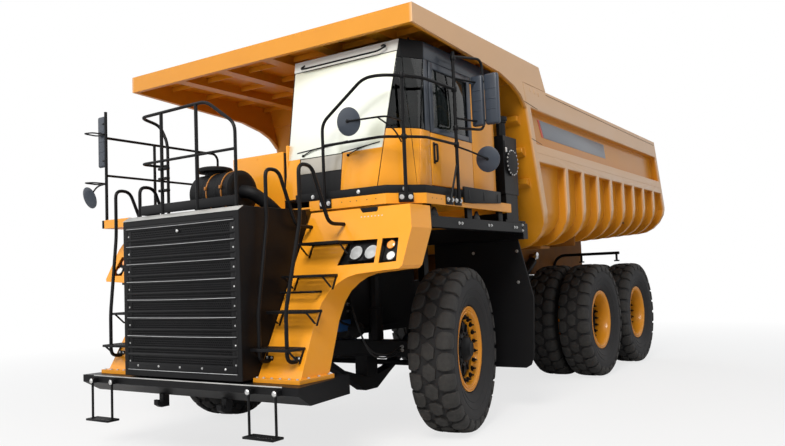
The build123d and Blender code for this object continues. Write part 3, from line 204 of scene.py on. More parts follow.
def make(name, shapes, material, replaces=None, body="chassis", slot=None, sharp=32, edge=0, segments=2):
    """Joins shapes into an object that rides on a body. The slot argument is not used."""
    bm = together(*shapes)
    bmesh.ops.transform(bm, matrix=TO_SCENE, verts=bm.verts[:])
    mesh = bpy.data.meshes.new(name)
    bm.to_mesh(mesh)
    bm.free()
    mesh.shade_smooth()
    mesh.set_sharp_from_angle(angle=math.radians(sharp))
    mesh.materials.append(material)
    piece = link(name, mesh)
    if edge:
        round_off = piece.modifiers.new("round_off", "BEVEL")
        round_off.width = edge / 1000
        round_off.segments = segments
        round_off.limit_method = "ANGLE"
        round_off.angle_limit = math.radians(40)
        round_off.harden_normals = True
    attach(piece, body)
    if replaces:
        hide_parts(replaces)
    print(name, len(mesh.polygons), "faces")
    return piece


# %% [markdown]
# Most of a truck is plate, bar and tube. A plate is an outline that is extruded. A turned part,
# such as a rim or a lamp, is a profile that is spun about its axis. A tube is a ring of edges
# that is extruded along a line, with a soft arc at each bend, because a rail is bent cold
# round a former and never has a sharp corner.

# %% Helpers that make a shape
def soften(bm, edge, segments=2, angle=30):
    """Bevels every edge that turns by more than the angle."""
    if edge:
        found = [e for e in bm.edges if len(e.link_faces) == 2 and e.calc_face_angle(0) > math.radians(angle)]
        bmesh.ops.bevel(bm, geom=found, offset=edge, segments=segments, profile=0.5, affect="EDGES",
                        material=-1, clamp_overlap=True)
    return bm


def block(x0, x1, y0, y1, z0, z1, edge=0, segments=2):
    """A box between two corners, its edges rounded."""
    bm = bmesh.new()
    bmesh.ops.create_cube(bm, size=1)
    bmesh.ops.scale(bm, vec=(abs(x1 - x0), abs(y1 - y0), abs(z1 - z0)), verts=bm.verts[:])
    bmesh.ops.translate(bm, vec=((x0 + x1) / 2, (y0 + y1) / 2, (z0 + z1) / 2), verts=bm.verts[:])
    return soften(bm, edge, segments)


def new_points(geometry):
    """The vertices among what an operator made."""
    return [g for g in geometry if isinstance(g, bmesh.types.BMVert)]


def plate(outline, axis, start, end, edge=0, segments=2):
    """An outline extruded along x, y or z. Its points are (y, z), (x, z) or (x, y)."""
    bm = bmesh.new()
    at = "xyz".index(axis)
    face = bm.faces.new([bm.verts.new((*spot[:at], start, *spot[at:])) for spot in outline])
    grown = bmesh.ops.extrude_face_region(bm, geom=[face])["geom"]
    bmesh.ops.translate(bm, vec=[end - start if i == at else 0 for i in range(3)], verts=new_points(grown))
    bmesh.ops.recalc_face_normals(bm, faces=bm.faces[:])
    return soften(bm, edge, segments)


def turned(profile, origin=(0, 0, 0), axis=(0, 0, 1), steps=48):
    """A profile of (place along the axis, radius) spun all the way round."""
    bm = bmesh.new()
    axis = Vector(axis).normalized()
    out = axis.orthogonal().normalized()
    points = [bm.verts.new(Vector(origin) + axis * along + out * radius) for along, radius in profile]
    edges = [bm.edges.new(ends) for ends in zip(points, points[1:])]
    bmesh.ops.spin(bm, geom=points + edges, cent=origin, axis=axis, angle=math.tau, steps=steps,
                   use_merge=True)
    clean(bm)
    return bm


def bar(start, end, radius, sides=16, edge=0):
    """A round bar between two points, its ends chamfered."""
    along = Vector(end) - Vector(start)
    long = along.length
    ends = [(0, radius), (long, radius)]
    if edge:
        ends = [(0, radius - edge), (edge, radius), (long - edge, radius), (long, radius - edge)]
    return turned([(0, 0), *ends, (long, 0)], start, along, sides)


def bent_line(points, bend, steps=5):
    """Corners joined by straight lines, with a soft arc in place of each corner."""
    corners = [Vector(p) for p in points]
    line = [corners[0]]
    for before, corner, after in zip(corners, corners[1:], corners[2:]):
        a = before - corner
        b = after - corner
        reach = min(bend, a.length * 0.48, b.length * 0.48)
        start = corner + a.normalized() * reach
        end = corner + b.normalized() * reach
        for i in range(steps + 1):
            t = i / steps
            line.append(start.lerp(corner, t).lerp(corner.lerp(end, t), t))
    return [*line, corners[-1]]


def tube(points, radius, bend=70, sides=12, steps=5):
    """A bent tube: a ring of edges extruded along the line."""
    bm = bmesh.new()
    line = bent_line(points, bend, steps)
    ring = bmesh.ops.create_circle(bm, cap_ends=True, radius=radius, segments=sides)["verts"]
    way = (line[1] - line[0]).normalized()
    turn = Vector((0, 0, 1)).rotation_difference(way).to_matrix()
    bmesh.ops.rotate(bm, cent=(0, 0, 0), matrix=turn, verts=ring)
    bmesh.ops.translate(bm, vec=line[0], verts=ring)
    edges = bm.edges[:]
    for before, here, after in zip(line, line[1:], line[2:] + [None]):
        wanted = (here - before).normalized()
        if after is not None:
            wanted = ((after - here).normalized() + wanted).normalized()
        grown = bmesh.ops.extrude_edge_only(bm, edges=edges)["geom"]
        ring = new_points(grown)
        edges = [g for g in grown if isinstance(g, bmesh.types.BMEdge)]
        bmesh.ops.translate(bm, vec=here - before, verts=ring)
        bmesh.ops.rotate(bm, cent=here, matrix=way.rotation_difference(wanted).to_matrix(), verts=ring)
        way = wanted
    bmesh.ops.edgeloop_fill(bm, edges=edges)
    bmesh.ops.recalc_face_normals(bm, faces=bm.faces[:])
    return bm


def facing(place, way, spin=0):
    """The matrix that stands a shape made on the XY plane at a place, facing a way."""
    turn = Vector((0, 0, 1)).rotation_difference(Vector(way)).to_matrix().to_4x4()
    return Matrix.Translation(place) @ turn @ Matrix.Rotation(spin, 4, "Z")


def disc(radius, height, place=(0, 0, 0), way=(0, 0, 1), steps=12):
    """A low round disc."""
    return turned([(0, 0), (0, radius), (height, radius), (height, 0)], place, way, steps)


def hex_bolt(radius=11, height=8, washer=2):
    """A six-sided bolt head on a washer, standing on the XY plane."""
    head = bmesh.new()
    bmesh.ops.create_cone(head, cap_ends=True, segments=6, radius1=radius, radius2=radius * 0.94,
                          depth=height)
    bmesh.ops.translate(head, vec=(0, 0, washer + height / 2), verts=head.verts[:])
    return together(disc(radius * 1.5, washer, steps=14), head)


BOLT = hex_bolt()


def bolts(places, way, size=1.0):
    """A bolt head at each place, each turned a little further than the last."""
    return together(*(placed(facing(place, way, 0.7 * i) @ Matrix.Scale(size, 4), BOLT)
                      for i, place in enumerate(places)))


print("a bolt has", len(BOLT.faces), "faces")

# %% [markdown]
# No paint is one flat colour. Fresh machine paint drifts a little in tone from plate to plate,
# has a fine orange-peel skin, and gathers dust low down and in patches. One helper makes all
# such finishes: a broad noise mixes two close colours, a second one mixes in dust, and a fine
# one bumps the surface. On the bed's underframe that second mix is dark and paints shade. All of
# them read object coordinates, so they stay put when a part moves.

# %% A helper for worn and dusty finishes
def new_material(name):
    """A material and its node tree."""
    material = bpy.data.materials.new(name)
    material.use_nodes = True
    return material, material.node_tree


def blend(tree, share, first, second):
    """The socket of a node that mixes two colours."""
    return add_node(tree, "Mix", {"Factor": share, "A": first, "B": second},
                    data_type="RGBA").outputs["Result"]


def finish(name, colour, second, rough, metal=0.0, coat=0.0, broad=1.3, fine=160.0, bump=0.06,
           dust_and_shade=0.0, dust_and_shade_colour=(0.42, 0.37, 0.30), high=2.2, spread=0.10, specular=0.5):
    """Makes a material: two tones, dust that thins out up to a height (painted shade where that dust is
    dark), and a fine bump.
    """
    material, tree = new_material(name)
    place = object_place(tree)
    clouds = add_node(tree, "TexNoise", {"Vector": place, "Scale": broad, "Detail": 5})
    grit = add_node(tree, "TexNoise", {"Vector": place, "Scale": fine, "Detail": 3})
    paint = blend(tree, clouds, (*colour, 1), (*second, 1))
    if dust_and_shade:
        height = add_node(tree, "SeparateXYZ", {0: place}).outputs["Z"]
        fade = add_node(tree, "MapRange", {"Value": height, "From Max": high, "To Min": 1.0, "To Max": 0.15})
        patches = add_node(tree, "TexNoise", {"Vector": place, "Scale": broad * 4, "Detail": 8,
                                              "Roughness": 0.65})
        cover = add_node(tree, "MapRange", {"Value": patches, "From Min": 0.42, "From Max": 0.72,
                                            "To Max": dust_and_shade})
        amount = add_node(tree, "Math", {0: cover, 1: fade}, operation="MULTIPLY")
        paint = blend(tree, amount, paint, (*dust_and_shade_colour, 1))
    gloss = add_node(tree, "MapRange", {"Value": clouds, "To Min": rough - spread, "To Max": rough + spread})
    relief = add_node(tree, "Bump", {"Height": grit, "Strength": bump, "Distance": 0.002})
    feed(tree, tree.nodes["Principled BSDF"], {
        "Base Color": paint, "Metallic": metal, "Coat Weight": coat, "Coat Roughness": 0.10,
        "Specular IOR Level": specular, "Roughness": gloss, "Normal": relief})
    return material


yellow = finish("yellow_paint", (0.76, 0.29, 0.010), (0.84, 0.335, 0.018), 0.38, coat=0.25,
                dust_and_shade=0.05, high=3.0, specular=0.25)
bed_yellow = finish("bed_yellow", (0.56, 0.215, 0.006), (0.66, 0.265, 0.014), 0.40, coat=0.22,
                    dust_and_shade=0.08, high=5.5, dust_and_shade_colour=(0.54, 0.35, 0.16), specular=0.25)
# The underframe's paint is a darkened copy of the bed paint: painted shade under the bed, darker still in
# patches and towards the bottom.
shaded_under_yellow = finish("shaded_under_yellow", (0.20, 0.075, 0.012), (0.30, 0.12, 0.018), 0.65,
                      dust_and_shade=0.5, high=4.0, dust_and_shade_colour=(0.05, 0.042, 0.034), specular=0.12)
black = finish("black_paint", (0.004, 0.004, 0.0045), (0.008, 0.008, 0.009), 0.40, dust_and_shade=0.06,
               high=2.6, dust_and_shade_colour=(0.06, 0.057, 0.054), specular=0.12)
dark_steel = finish("dark_steel", (0.006, 0.006, 0.007), (0.013, 0.013, 0.014), 0.55, dust_and_shade=0.12,
                    dust_and_shade_colour=(0.08, 0.074, 0.068), high=1.8, specular=0.15)
# The carcass is darker than the tread blocks: partly the dust on the blocks, partly painted shade in the
# grooves between them.
rubber = finish("tyre_rubber", (0.015, 0.0145, 0.0155), (0.027, 0.026, 0.027), 0.70, fine=90,
                bump=0.25, broad=2.5, dust_and_shade=0.16, dust_and_shade_colour=(0.06, 0.056, 0.052), high=2.6, spread=0.08,
                specular=0.22)
tread_rubber = finish("tread_rubber", (0.021, 0.020, 0.0195), (0.038, 0.036, 0.034), 0.76, fine=60,
                      bump=0.5, broad=5, dust_and_shade=0.30, dust_and_shade_colour=(0.085, 0.079, 0.073), high=2.6, spread=0.08,
                      specular=0.3)
print("paints and rubbers:", len(bpy.data.materials))

# %% [markdown]
# The bed's ribs, rails and skirt stand proud of its wall and catch the most sky, so their paint is
# lightened there: a painted sheen. They are the outermost faces, so the distance from the truck's middle
# picks them.

# %% Painted sheen on the bed's outermost faces
def painted_sheen_beyond(material, start, full, pale, share):
    """Lightens a paint, as a painted sheen, further than start from the truck's middle, and in full beyond
    full.
    """
    tree = material.node_tree
    place = add_node(tree, "SeparateXYZ", {0: object_place(tree)})
    away = add_node(tree, "Math", {0: place.outputs["X"]}, operation="ABSOLUTE")
    ramp = add_node(tree, "MapRange", {"Value": away, "From Min": start, "From Max": full, "To Max": share})
    shader = tree.nodes["Principled BSDF"]
    paint = shader.inputs["Base Color"].links[0].from_socket
    feed(tree, shader, {"Base Color": blend(tree, ramp, paint, (*pale, 1))})


# The outermost faces are lightened: a painted sheen of the sky they reflect.
painted_sheen_beyond(bed_yellow, 2.13, 2.165, (0.74, 0.52, 0.34), 0.60)
print("painted_sheen_on:", bed_yellow.name)

# %% [markdown]
# The smaller finishes use the same helper. Bright bolts and the hoists' rods are bare metal, so
# their colour is that of the reflection. The mirror backs and door frame are a blue-grey plastic.

# %% Metal, plastic and lamp finishes
bolt_steel = finish("bolt_steel", (0.50, 0.50, 0.50), (0.66, 0.66, 0.65), 0.35, metal=0.9)
bright_rod = finish("bright_rod", (0.55, 0.56, 0.58), (0.64, 0.65, 0.66), 0.2, metal=1.0, bump=0.02)
bright_bar = finish("bright_bar", (0.34, 0.35, 0.36), (0.62, 0.62, 0.62), 0.3, metal=0.85, broad=3)
worn = finish("worn_edge", (0.34, 0.34, 0.33), (0.62, 0.62, 0.60), 0.32, metal=0.35, broad=5,
              bump=0.1)
blue_grey = finish("blue_grey", (0.022, 0.029, 0.042), (0.034, 0.043, 0.060), 0.40, coat=0.15,
                   specular=0.35)
pale_grey = finish("pale_grey", (0.60, 0.59, 0.55), (0.69, 0.68, 0.64), 0.4, coat=0.2)
sign_grey = finish("sign_grey", (0.23, 0.25, 0.28), (0.29, 0.31, 0.34), 0.42)
strip_red = finish("strip_red", (0.60, 0.05, 0.03), (0.70, 0.08, 0.05), 0.4)
seam_dark = finish("seam_shadow", (0.10, 0.05, 0.012), (0.16, 0.08, 0.02), 0.7)
clamp = finish("clamp_orange", (0.42, 0.15, 0.02), (0.52, 0.20, 0.03), 0.4)
engine_blue = finish("engine_blue", (0.02, 0.10, 0.33), (0.03, 0.15, 0.42), 0.42, dust_and_shade=0.2)
trim_black = finish("trim_black", (0.004, 0.004, 0.0045), (0.009, 0.009, 0.010), 0.55,
                    fine=320, bump=0.15, specular=0.16)
core = finish("core_fins", (0.006, 0.006, 0.007), (0.012, 0.012, 0.013), 0.7, fine=700, bump=0.8)
hose_rubber = finish("hose_rubber", (0.012, 0.012, 0.013), (0.03, 0.03, 0.032), 0.55, fine=240,
                     bump=0.2)
seat_cloth = finish("seat_cloth", (0.035, 0.037, 0.042), (0.055, 0.057, 0.064), 0.9, fine=420,
                    bump=0.5)
amber = finish("amber_lens", (0.85, 0.26, 0.02), (0.95, 0.36, 0.04), 0.15, coat=0.8, fine=110,
               bump=0.4)
lens_white = finish("lamp_lens", (0.66, 0.67, 0.66), (0.82, 0.83, 0.82), 0.10, coat=0.9, fine=75,
                    bump=0.5)
bowl = finish("lamp_bowl", (0.86, 0.87, 0.88), (0.95, 0.95, 0.95), 0.42, metal=0.55, bump=0.02)
print("all finishes:", len(bpy.data.materials))

# %% [markdown]
# Cab glass shows the cab through a faint tint and mirrors the pale sky, so it is a thin clear
# shader mixed with gloss: the sharper the angle, the more it reflects. A mix of transparent and
# glossy renders faster than true glass, and thin panes don't bend the view anyway. The veil is a
# diffuse coat that scatters light as paint does. On the windscreen and the headlamp lenses it is a
# painted reflection, pale where the real pane mirrors the sky or the lamp's bright bowl; on the
# lower pane it is a smoky brown-grey coat.

# %% Glass
def pane_glass(name, tint, gloss, rough=0.02, veil=None, veiled=0.0, slanted=1.0, uneven=0.10):
    """Makes a thin tinted pane that reflects more at a slant."""
    material, tree = new_material(name)
    tree.nodes.clear()
    see = add_node(tree, "BsdfTransparent", {"Color": (*tint, 1)})
    if veil:
        veil_coat = add_node(tree, "BsdfDiffuse", {"Color": (*veil, 1)})
        see = add_node(tree, "MixShader", {"Fac": veiled, 1: see, 2: veil_coat})
    shine = add_node(tree, "BsdfGlossy", {"Roughness": rough})
    away = add_node(tree, "LayerWeight", {"Blend": 0.5}).outputs["Facing"]
    slant = add_node(tree, "Math", {0: away, 1: 4.0}, operation="POWER")
    base = add_node(tree, "Math", {0: slant, 1: slanted, 2: gloss}, operation="MULTIPLY_ADD")
    haze = add_node(tree, "TexNoise", {"Vector": object_place(tree), "Scale": 1.7, "Detail": 4})
    total = add_node(tree, "Math", {0: haze, 1: uneven, 2: base}, operation="MULTIPLY_ADD", use_clamp=True)
    pane = add_node(tree, "MixShader", {"Fac": total, 1: see, 2: shine})
    add_node(tree, "OutputMaterial", {"Surface": pane})
    return material


# The windscreen's veil is a painted reflection: a pale diffuse coat over almost all of the pane stands in for
# the sky it mirrors.
screen_glass = pane_glass("screen_glass", (0.62, 0.68, 0.64), 0.36, 0.30, (0.74, 0.77, 0.62), 0.96,
                          slanted=0.6, uneven=0.08)
side_glass = pane_glass("side_glass", (0.30, 0.34, 0.33), 0.01, 0.03, slanted=0.45, uneven=0.07)
smoky = pane_glass("smoky_glass", (0.20, 0.18, 0.16), 0.14, 0.30, (0.34, 0.30, 0.23), 0.86, slanted=0.4)
# The headlamp lenses' pale veil is a painted reflection of the bright bowl behind them.
lens_clear = pane_glass("lens_clear", (0.95, 0.96, 0.97), 0.10, 0.03, (0.90, 0.91, 0.91), 0.42)
print("panes:", screen_glass.name, side_glass.name, smoky.name, lens_clear.name)

# %% [markdown]
# ## Tyres
# A mine tyre has deep blocks: a row of slanted six-sided blocks in the middle, and on both sides
# a row of lugs that runs over the shoulder and ends in a scallop. The blocks could be carved
# from a turned ring, but it is easier to cut them out flat, as a mould maker draws them, and to
# wrap them: one axis of the drawing runs round the tyre and the other across it. The drawing's
# width follows a curve from the crown over the shoulder and down the side.

# %% The tyre's cross-section
TYRE_R = 940
PITCHES = 26
PITCH = math.tau * TYRE_R / PITCHES
SECTION = [(0, 902), (70, 901), (140, 897), (185, 889), (212, 874), (228, 850), (236, 820), (240, 785),
           (242, 745), (240, 705), (234, 660), (224, 615), (210, 570), (194, 530), (176, 500), (166, 487)]


def section_spot(across):
    """The place and outward direction on the tyre's section, this far across from the crown."""
    left = abs(across)
    for (x0, r0), (x1, r1) in zip(SECTION, SECTION[1:]):
        span = math.hypot(x1 - x0, r1 - r0)
        if left <= span:
            t = left / span
            return x0 + (x1 - x0) * t, r0 + (r1 - r0) * t, -(r1 - r0) / span, (x1 - x0) / span
        left -= span
    return x1, r1, 0.0, -1.0


def wrap(bm):
    """Wraps a flat drawing of X round the tyre, Y across it and Z proud of it."""
    for v in bm.verts:
        x, r, nx, nr = section_spot(v.co.y)
        side = 1 if v.co.y >= 0 else -1
        turn = v.co.x / TYRE_R
        radius = r + nr * v.co.z
        v.co = Vector((side * (x + nx * v.co.z), radius * math.sin(turn), -radius * math.cos(turn)))


print("pitch of the tread", round(PITCH), "mm")

# %% [markdown]
# Each block is one face that is extruded to its height, bevelled, and cut across a few times so
# that it can follow the curves. One lug and one middle block are wrapped, and the rest are
# copies turned about the axle, as a tread repeats by its pitch.

# %% Tread blocks
ROOT = -6
SHOULDER = 205
GAP_SHARE = 0.98


def cut(bm, place, way):
    """Cuts a shape across, so that it can bend there."""
    bmesh.ops.bisect_plane(bm, geom=bm.verts[:] + bm.edges[:] + bm.faces[:], plane_co=place, plane_no=way)


def tread_block(outline, height, cuts_y, slope=4, edge=5):
    """A flat block with sloping sides, cut at these lines so that it can bend."""
    bm = bmesh.new()
    mid_x = (min(x for x, _ in outline) + max(x for x, _ in outline)) / 2
    face = bm.faces.new([bm.verts.new((mid_x + (x - mid_x) * GAP_SHARE, y, ROOT)) for x, y in outline])
    bm.normal_update()
    if face.normal.z < 0:
        face.normal_flip()
    top = new_points(bmesh.ops.extrude_face_region(bm, geom=[face])["geom"])
    centre = sum((v.co for v in top), Vector()) / len(top)
    for v in top:
        v.co.z = height
        inward = centre - v.co
        inward.z = 0
        v.co += inward.normalized() * slope
    rim = [e for e in bm.edges if all(v.co.z > 0 for v in e.verts)]
    bmesh.ops.bevel(bm, geom=rim, offset=edge, segments=2, profile=0.5, affect="EDGES", material=-1,
                    clamp_overlap=True)
    low = min(v.co.x for v in bm.verts)
    high = max(v.co.x for v in bm.verts)
    for quarter in (1, 2, 3):
        cut(bm, (low + (high - low) * quarter / 4, 0, 0), (1, 0, 0))
    for y in cuts_y:
        cut(bm, (0, y, 0), (0, 1, 0))
    bmesh.ops.recalc_face_normals(bm, faces=bm.faces[:])
    return bm


middle = [(-0.33, -62), (0.16, -76), (0.46, -8), (0.33, 62), (-0.16, 76), (-0.46, 8)]
lug = [(-0.44, 150), (-0.30, 104), (-0.02, 84), (0.34, 92), (0.44, 138), (0.43, 205), (0.40, 262),
       (0.27, 296), (-0.02, 308), (-0.27, 294), (-0.38, 255), (-0.43, 200)]
crown = tread_block([(x * PITCH, y) for x, y in middle], 30, (-40, 0, 40))
shoulder = tread_block([(x * PITCH, y) for x, y in lug], 31, (120, 150, 180, 205, 225, 250, 275))
for v in shoulder.verts:
    if v.co.y > SHOULDER and v.co.z > 0:
        v.co.z *= max(0.28, 1 - (v.co.y - SHOULDER) / 135)
half_pitch = Matrix.Translation((0.5 * PITCH, 0, 0))
blocks = together(crown, placed(half_pitch, shoulder),
                  placed(half_pitch @ Matrix.Rotation(math.pi, 4, "Z"), shoulder))
wrap(blocks)
print("one pitch of tread has", len(blocks.faces), "faces")

# %% [markdown]
# The carcass under the blocks is a plain turned ring, with the fine raised lines that a mould
# leaves on the sidewall. The same tyre serves all ten places, turned by a few degrees each.

# %% The carcass and the whole tyre
def ridge(x, r, step=3):
    """Four close points that raise a fine moulded line on the sidewall."""
    return [(x, r + 5), (x + step, r + 3), (x + step, r - 3), (x, r - 5)]


def wheel_part(profile, steps):
    """A profile turned about the axle."""
    return turned(profile, axis=(1, 0, 0), steps=steps)


half_ring = [*SECTION[:7], *ridge(239, 795), (242, 745), (240, 705), *ridge(235, 672), (228, 630),
             *ridge(217, 592), (202, 550), (184, 512), (178, 500), (170, 494), (154, 491), (150, 487),
             (150, 425)]
whole_ring = [(-x, r) for x, r in reversed(half_ring)] + half_ring[1:]
carcass = wheel_part(whole_ring, 78)
tread = around(PITCHES, blocks)
blocks.free()
print("one tyre has", len(carcass.faces) + len(tread.faces), "faces")

# %% Tyres in their places
AXLE_Z = 932.85
TRACK_FRONT = 1723
TWIN_MIDDLE = 1331
TWIN_OFFSET = 290
AXLES = {"mid": 4954, "rear": 7038}
PARKED = math.radians(11)
KINGPIN_X = 1349
FLIPS = {"left": Matrix.Identity(4), "right": MIRROR}


def front_place(word):
    """Where a front wheel is: turned about its kingpin."""
    side = SIDES[word]
    pin = Matrix.Translation((side * KINGPIN_X, 0, 0))
    about_pin = pin @ Matrix.Rotation(PARKED, 4, "Z") @ pin.inverted()
    return about_pin @ Matrix.Translation((side * TRACK_FRONT, 0, AXLE_Z)) @ FLIPS[word]


def twin_place(word, axle, offset=0):
    """Where a rear pair is, or one tyre of it."""
    return Matrix.Translation((SIDES[word] * (TWIN_MIDDLE + offset), AXLES[axle], AXLE_Z)) @ FLIPS[word]


def rolled(angle):
    """A turn about the axle, so that no two tyres stand alike."""
    return Matrix.Rotation(angle, 4, "X")


for word in SIDES:
    for part, shape, paint in (("carcass", carcass, rubber), ("tread", tread, tread_rubber)):
        node = f"tyre_front_{word}" if shape is carcass else None
        one = placed(front_place(word) @ rolled(0.05), shape)
        make(f"{part}_front_{word}", [one], paint, node, f"wheel_front_{word}", sharp=28)
        for axle in AXLES:
            node = f"tyres_{axle}_{word}" if shape is carcass else None
            outer = placed(twin_place(word, axle, TWIN_OFFSET) @ rolled(0.07), shape)
            inner = placed(twin_place(word, axle, -TWIN_OFFSET) @ rolled(0.18), shape)
            make(f"{part}_{axle}_{word}", [outer, inner], paint, node, f"wheels_{axle}_{word}", sharp=28)

# %% [markdown]
# ## Rims
# A front rim is a yellow barrel whose outer side steps inwards in rings: the flange, the gutter,
# the lock ring. Inside it sits a black cast hub with ten spokes and a domed cap, and a ring of
# clamps with long studs holds the two together. The rings are one turned profile. One clamp
# and one spoke are made and copied about the axle.

# %% Front rim
def nut(place, size=1.5):
    """A bolt head that faces outwards along the axle."""
    return placed(facing(place, (1, 0, 0)) @ Matrix.Scale(size, 4), BOLT)


rim_profile = [(-175, 425), (-175, 480), (-160, 482), (-152, 455), (-150, 421), (150, 421), (152, 455),
               (160, 482), (175, 480), (176, 468), (168, 462), (168, 452), (178, 448), (178, 436), (166, 430),
               (160, 420), (164, 410), (154, 402), (128, 398), (110, 392), (100, 372), (100, 330), (88, 326),
               (70, 330), (66, 392), (-150, 396), (-175, 425)]
hub_profile = [(40, 0), (40, 318), (72, 322), (82, 300), (78, 205), (110, 190), (118, 150), (150, 138),
               (170, 118), (186, 88), (196, 82), (200, 60), (200, 0)]
front_rim = wheel_part(rim_profile, 72)
spoke = plate([(-17, 130), (17, 130), (13, 315), (-13, 315)], "x", 60, 112, edge=5)
for v in spoke.verts:
    if v.co.x > 90 and v.co.z > 240:
        v.co.x -= 18
clamp_set = together(block(96, 124, -20, 20, 332, 386, edge=5), bar((100, 0, 356), (158, 0, 356), 9, 10),
                     nut((122, 0, 356)))
front_hub = together(wheel_part(hub_profile, 48), around(10, spoke), around(20, clamp_set, 0.5),
                     around(10, nut((116, 0, 168), 1), 0.25))
for word in SIDES:
    ride = {"body": f"wheel_front_{word}"}
    spot = front_place(word)
    rings = placed(spot, front_rim)
    make(f"rim_rings_front_{word}", [rings], yellow, f"rim_front_{word}", **ride)
    make(f"hub_front_{word}", [placed(spot, front_hub)], black, **ride)

# %% [markdown]
# A rear pair shares one hub between its two rims. From outside the deep dish of the outer rim
# shows, with a drum in it that carries twenty clamps. The barrels are turned whole, so that the
# pair can be seen from the inner side and through the gap between the tyres as well.

# %% Rear rims
flange = [(0, 421), (2, 455), (10, 482), (25, 480), (26, 468), (18, 462), (18, 452), (28, 446), (26, 430),
          (12, 418), (-6, 406)]
outer_rim = [(440 + x, r) for x, r in flange] + [(300, 400), (120, 396), (96, 380), (90, 300), (60, 296),
                                                 (40, 0)]
inner_rim = [(-440 - x, r) for x, r in flange] + [(-300, 400), (-120, 396), (-90, 380), (-60, 296), (-40, 0)]
half_barrel = [(130, 421), (138, 480), (148, 478), (150, 421), (440, 421)]
middle_barrel = [(-x, r) for x, r in reversed(half_barrel)] + half_barrel
drum = [(50, 0), (50, 250), (140, 240), (150, 215), (235, 205), (250, 180), (262, 60), (262, 0)]
clamp_ring = [(88, 298), (205, 300), (232, 312), (240, 330), (238, 356), (222, 362), (196, 346), (88, 340),
              (88, 298)]
rear_rim = together(*(wheel_part(line, 64) for line in (outer_rim, inner_rim, middle_barrel)))
clamp_set = together(bar((230, 0, 352), (296, 0, 352), 9, 10), block(232, 258, -18, 18, 334, 394, edge=4),
                     nut((258, 0, 352)))
rear_hub = together(*(wheel_part(line, 40) for line in (drum, clamp_ring)), around(20, clamp_set))
for word in SIDES:
    for axle in AXLES:
        ride = {"body": f"wheels_{axle}_{word}"}
        spot = twin_place(word, axle)
        rings = placed(spot, rear_rim)
        make(f"rim_rings_{axle}_{word}", [rings], yellow, f"rims_{axle}_{word}", **ride)
        make(f"hub_{axle}_{word}", [placed(spot, rear_hub)], black, **ride)

# %% [markdown]
# ## The front
# Where the CAD solid already has the right form, a copy of its mesh is taken, its loose
# triangles are merged and flattened, and a bevel rounds the plate edges. A real edge is never
# sharp, and it is the thin line of light along it that shows so. The copy replaces the node,
# and the node's own mesh isn't touched.

# %% A helper that dresses a CAD node
def from_node(node):
    """A merged copy of a CAD node's mesh, in millimetres of the truck."""
    bm = bmesh.new()
    mesh = bpy.data.objects[node].data.copy()
    mesh.transform(TO_SCENE.inverted())
    bm.from_mesh(mesh)
    bpy.data.meshes.remove(mesh)
    bmesh.ops.remove_doubles(bm, verts=bm.verts[:], dist=0.02)
    bmesh.ops.dissolve_limit(bm, angle_limit=math.radians(0.6), verts=bm.verts[:], edges=bm.edges[:])
    bmesh.ops.recalc_face_normals(bm, faces=bm.faces[:])
    for face in bm.faces:
        face.material_index = 0
    return bm


def dress(node, name, material, edge, **more):
    """Replaces a CAD node by a finished copy with rounded edges."""
    make(name, [from_node(node)], material, node, edge=edge, **more)

# %% [markdown]
# The radiator housing is a black plate box with a worn, pale top edge. Its mouth holds louvre
# panels of perforated sheet. A hole of a few millimetres can't be faked by colour when seen at
# a slant, so one cell is made: a hexagon inset into a rectangle of sheet, with a short wall
# behind. Rows of cells are joined, every second row shifted by half a cell.

# %% Radiator housing and perforated louvres
CELL = 26.5
ROW = 22.5
HOLE_RADIUS = 8.6
COLUMNS = 56
SHEET_Y = -2462
SLATS = [2390, 2204, 2018, 1832, 1646, 1460, 1274, 1088]


def hole_cell():
    """A piece of sheet with a six-sided hole and the hole's wall."""
    bm = bmesh.new()
    w, h = CELL / 2, ROW / 2
    outline = [(-w, -h), (0, -h), (w, -h), (w, 0), (w, h), (0, h), (-w, h), (-w, 0)]
    bmesh.ops.create_circle(bm, segments=6, radius=HOLE_RADIUS)
    bmesh.ops.rotate(bm, cent=(0, 0, 0), matrix=Matrix.Rotation(math.pi / 6, 3, "Z"), verts=bm.verts[:])
    hole = bm.edges[:]
    rim = [bm.verts.new((x, y, 0)) for x, y in outline]
    edge = [bm.edges.new(ends) for ends in zip(rim, rim[1:] + rim[:1])]
    bmesh.ops.bridge_loops(bm, edges=hole + edge)
    deep = bmesh.ops.extrude_edge_only(bm, edges=hole)["geom"]
    bmesh.ops.translate(bm, vec=(0, 0, -9), verts=new_points(deep))
    bmesh.ops.rotate(bm, cent=(0, 0, 0), matrix=Matrix.Rotation(math.pi / 2, 3, "X"), verts=bm.verts[:])
    if sum(f.normal.y * f.calc_area() for f in bm.faces if abs(f.normal.y) > 0.5) > 0:
        bmesh.ops.reverse_faces(bm, faces=bm.faces[:])
    return bm


dress("radiator_housing", "radiator_box", black, 7)
worn_edge = plate([(-2474, 2474), (-2402, 2520), (-2402, 2524), (-2478, 2476)], "x", -858, 858, edge=1.5)
make("hood_worn_edge", [worn_edge], worn)
cell = hole_cell()
holes = bmesh.new()
strips = []
for slat in SLATS:
    for top, rows in ((slat - 22, 4), (slat - 132, 2)):
        if slat == SLATS[-1] and rows == 2:
            continue
        strips.append((top, top - rows * ROW))
        for r in range(rows):
            shift = 0.5 + 0.5 * (r % 2)
            for c in range(COLUMNS - r % 2):
                spot = ((c - COLUMNS / 2 + shift) * CELL, SHEET_Y, top - (r + 0.5) * ROW)
                join(holes, cell, Matrix.Translation(spot))
cell.free()
make("louvre_holes", [holes], black, "grille")

# %% [markdown]
# Between the perforated strips the sheet is folded into plain ribs, and on the folds lie thin
# bright bars that sag a little in the middle. A row of fixings runs down each margin, and
# behind everything stands the dark core.

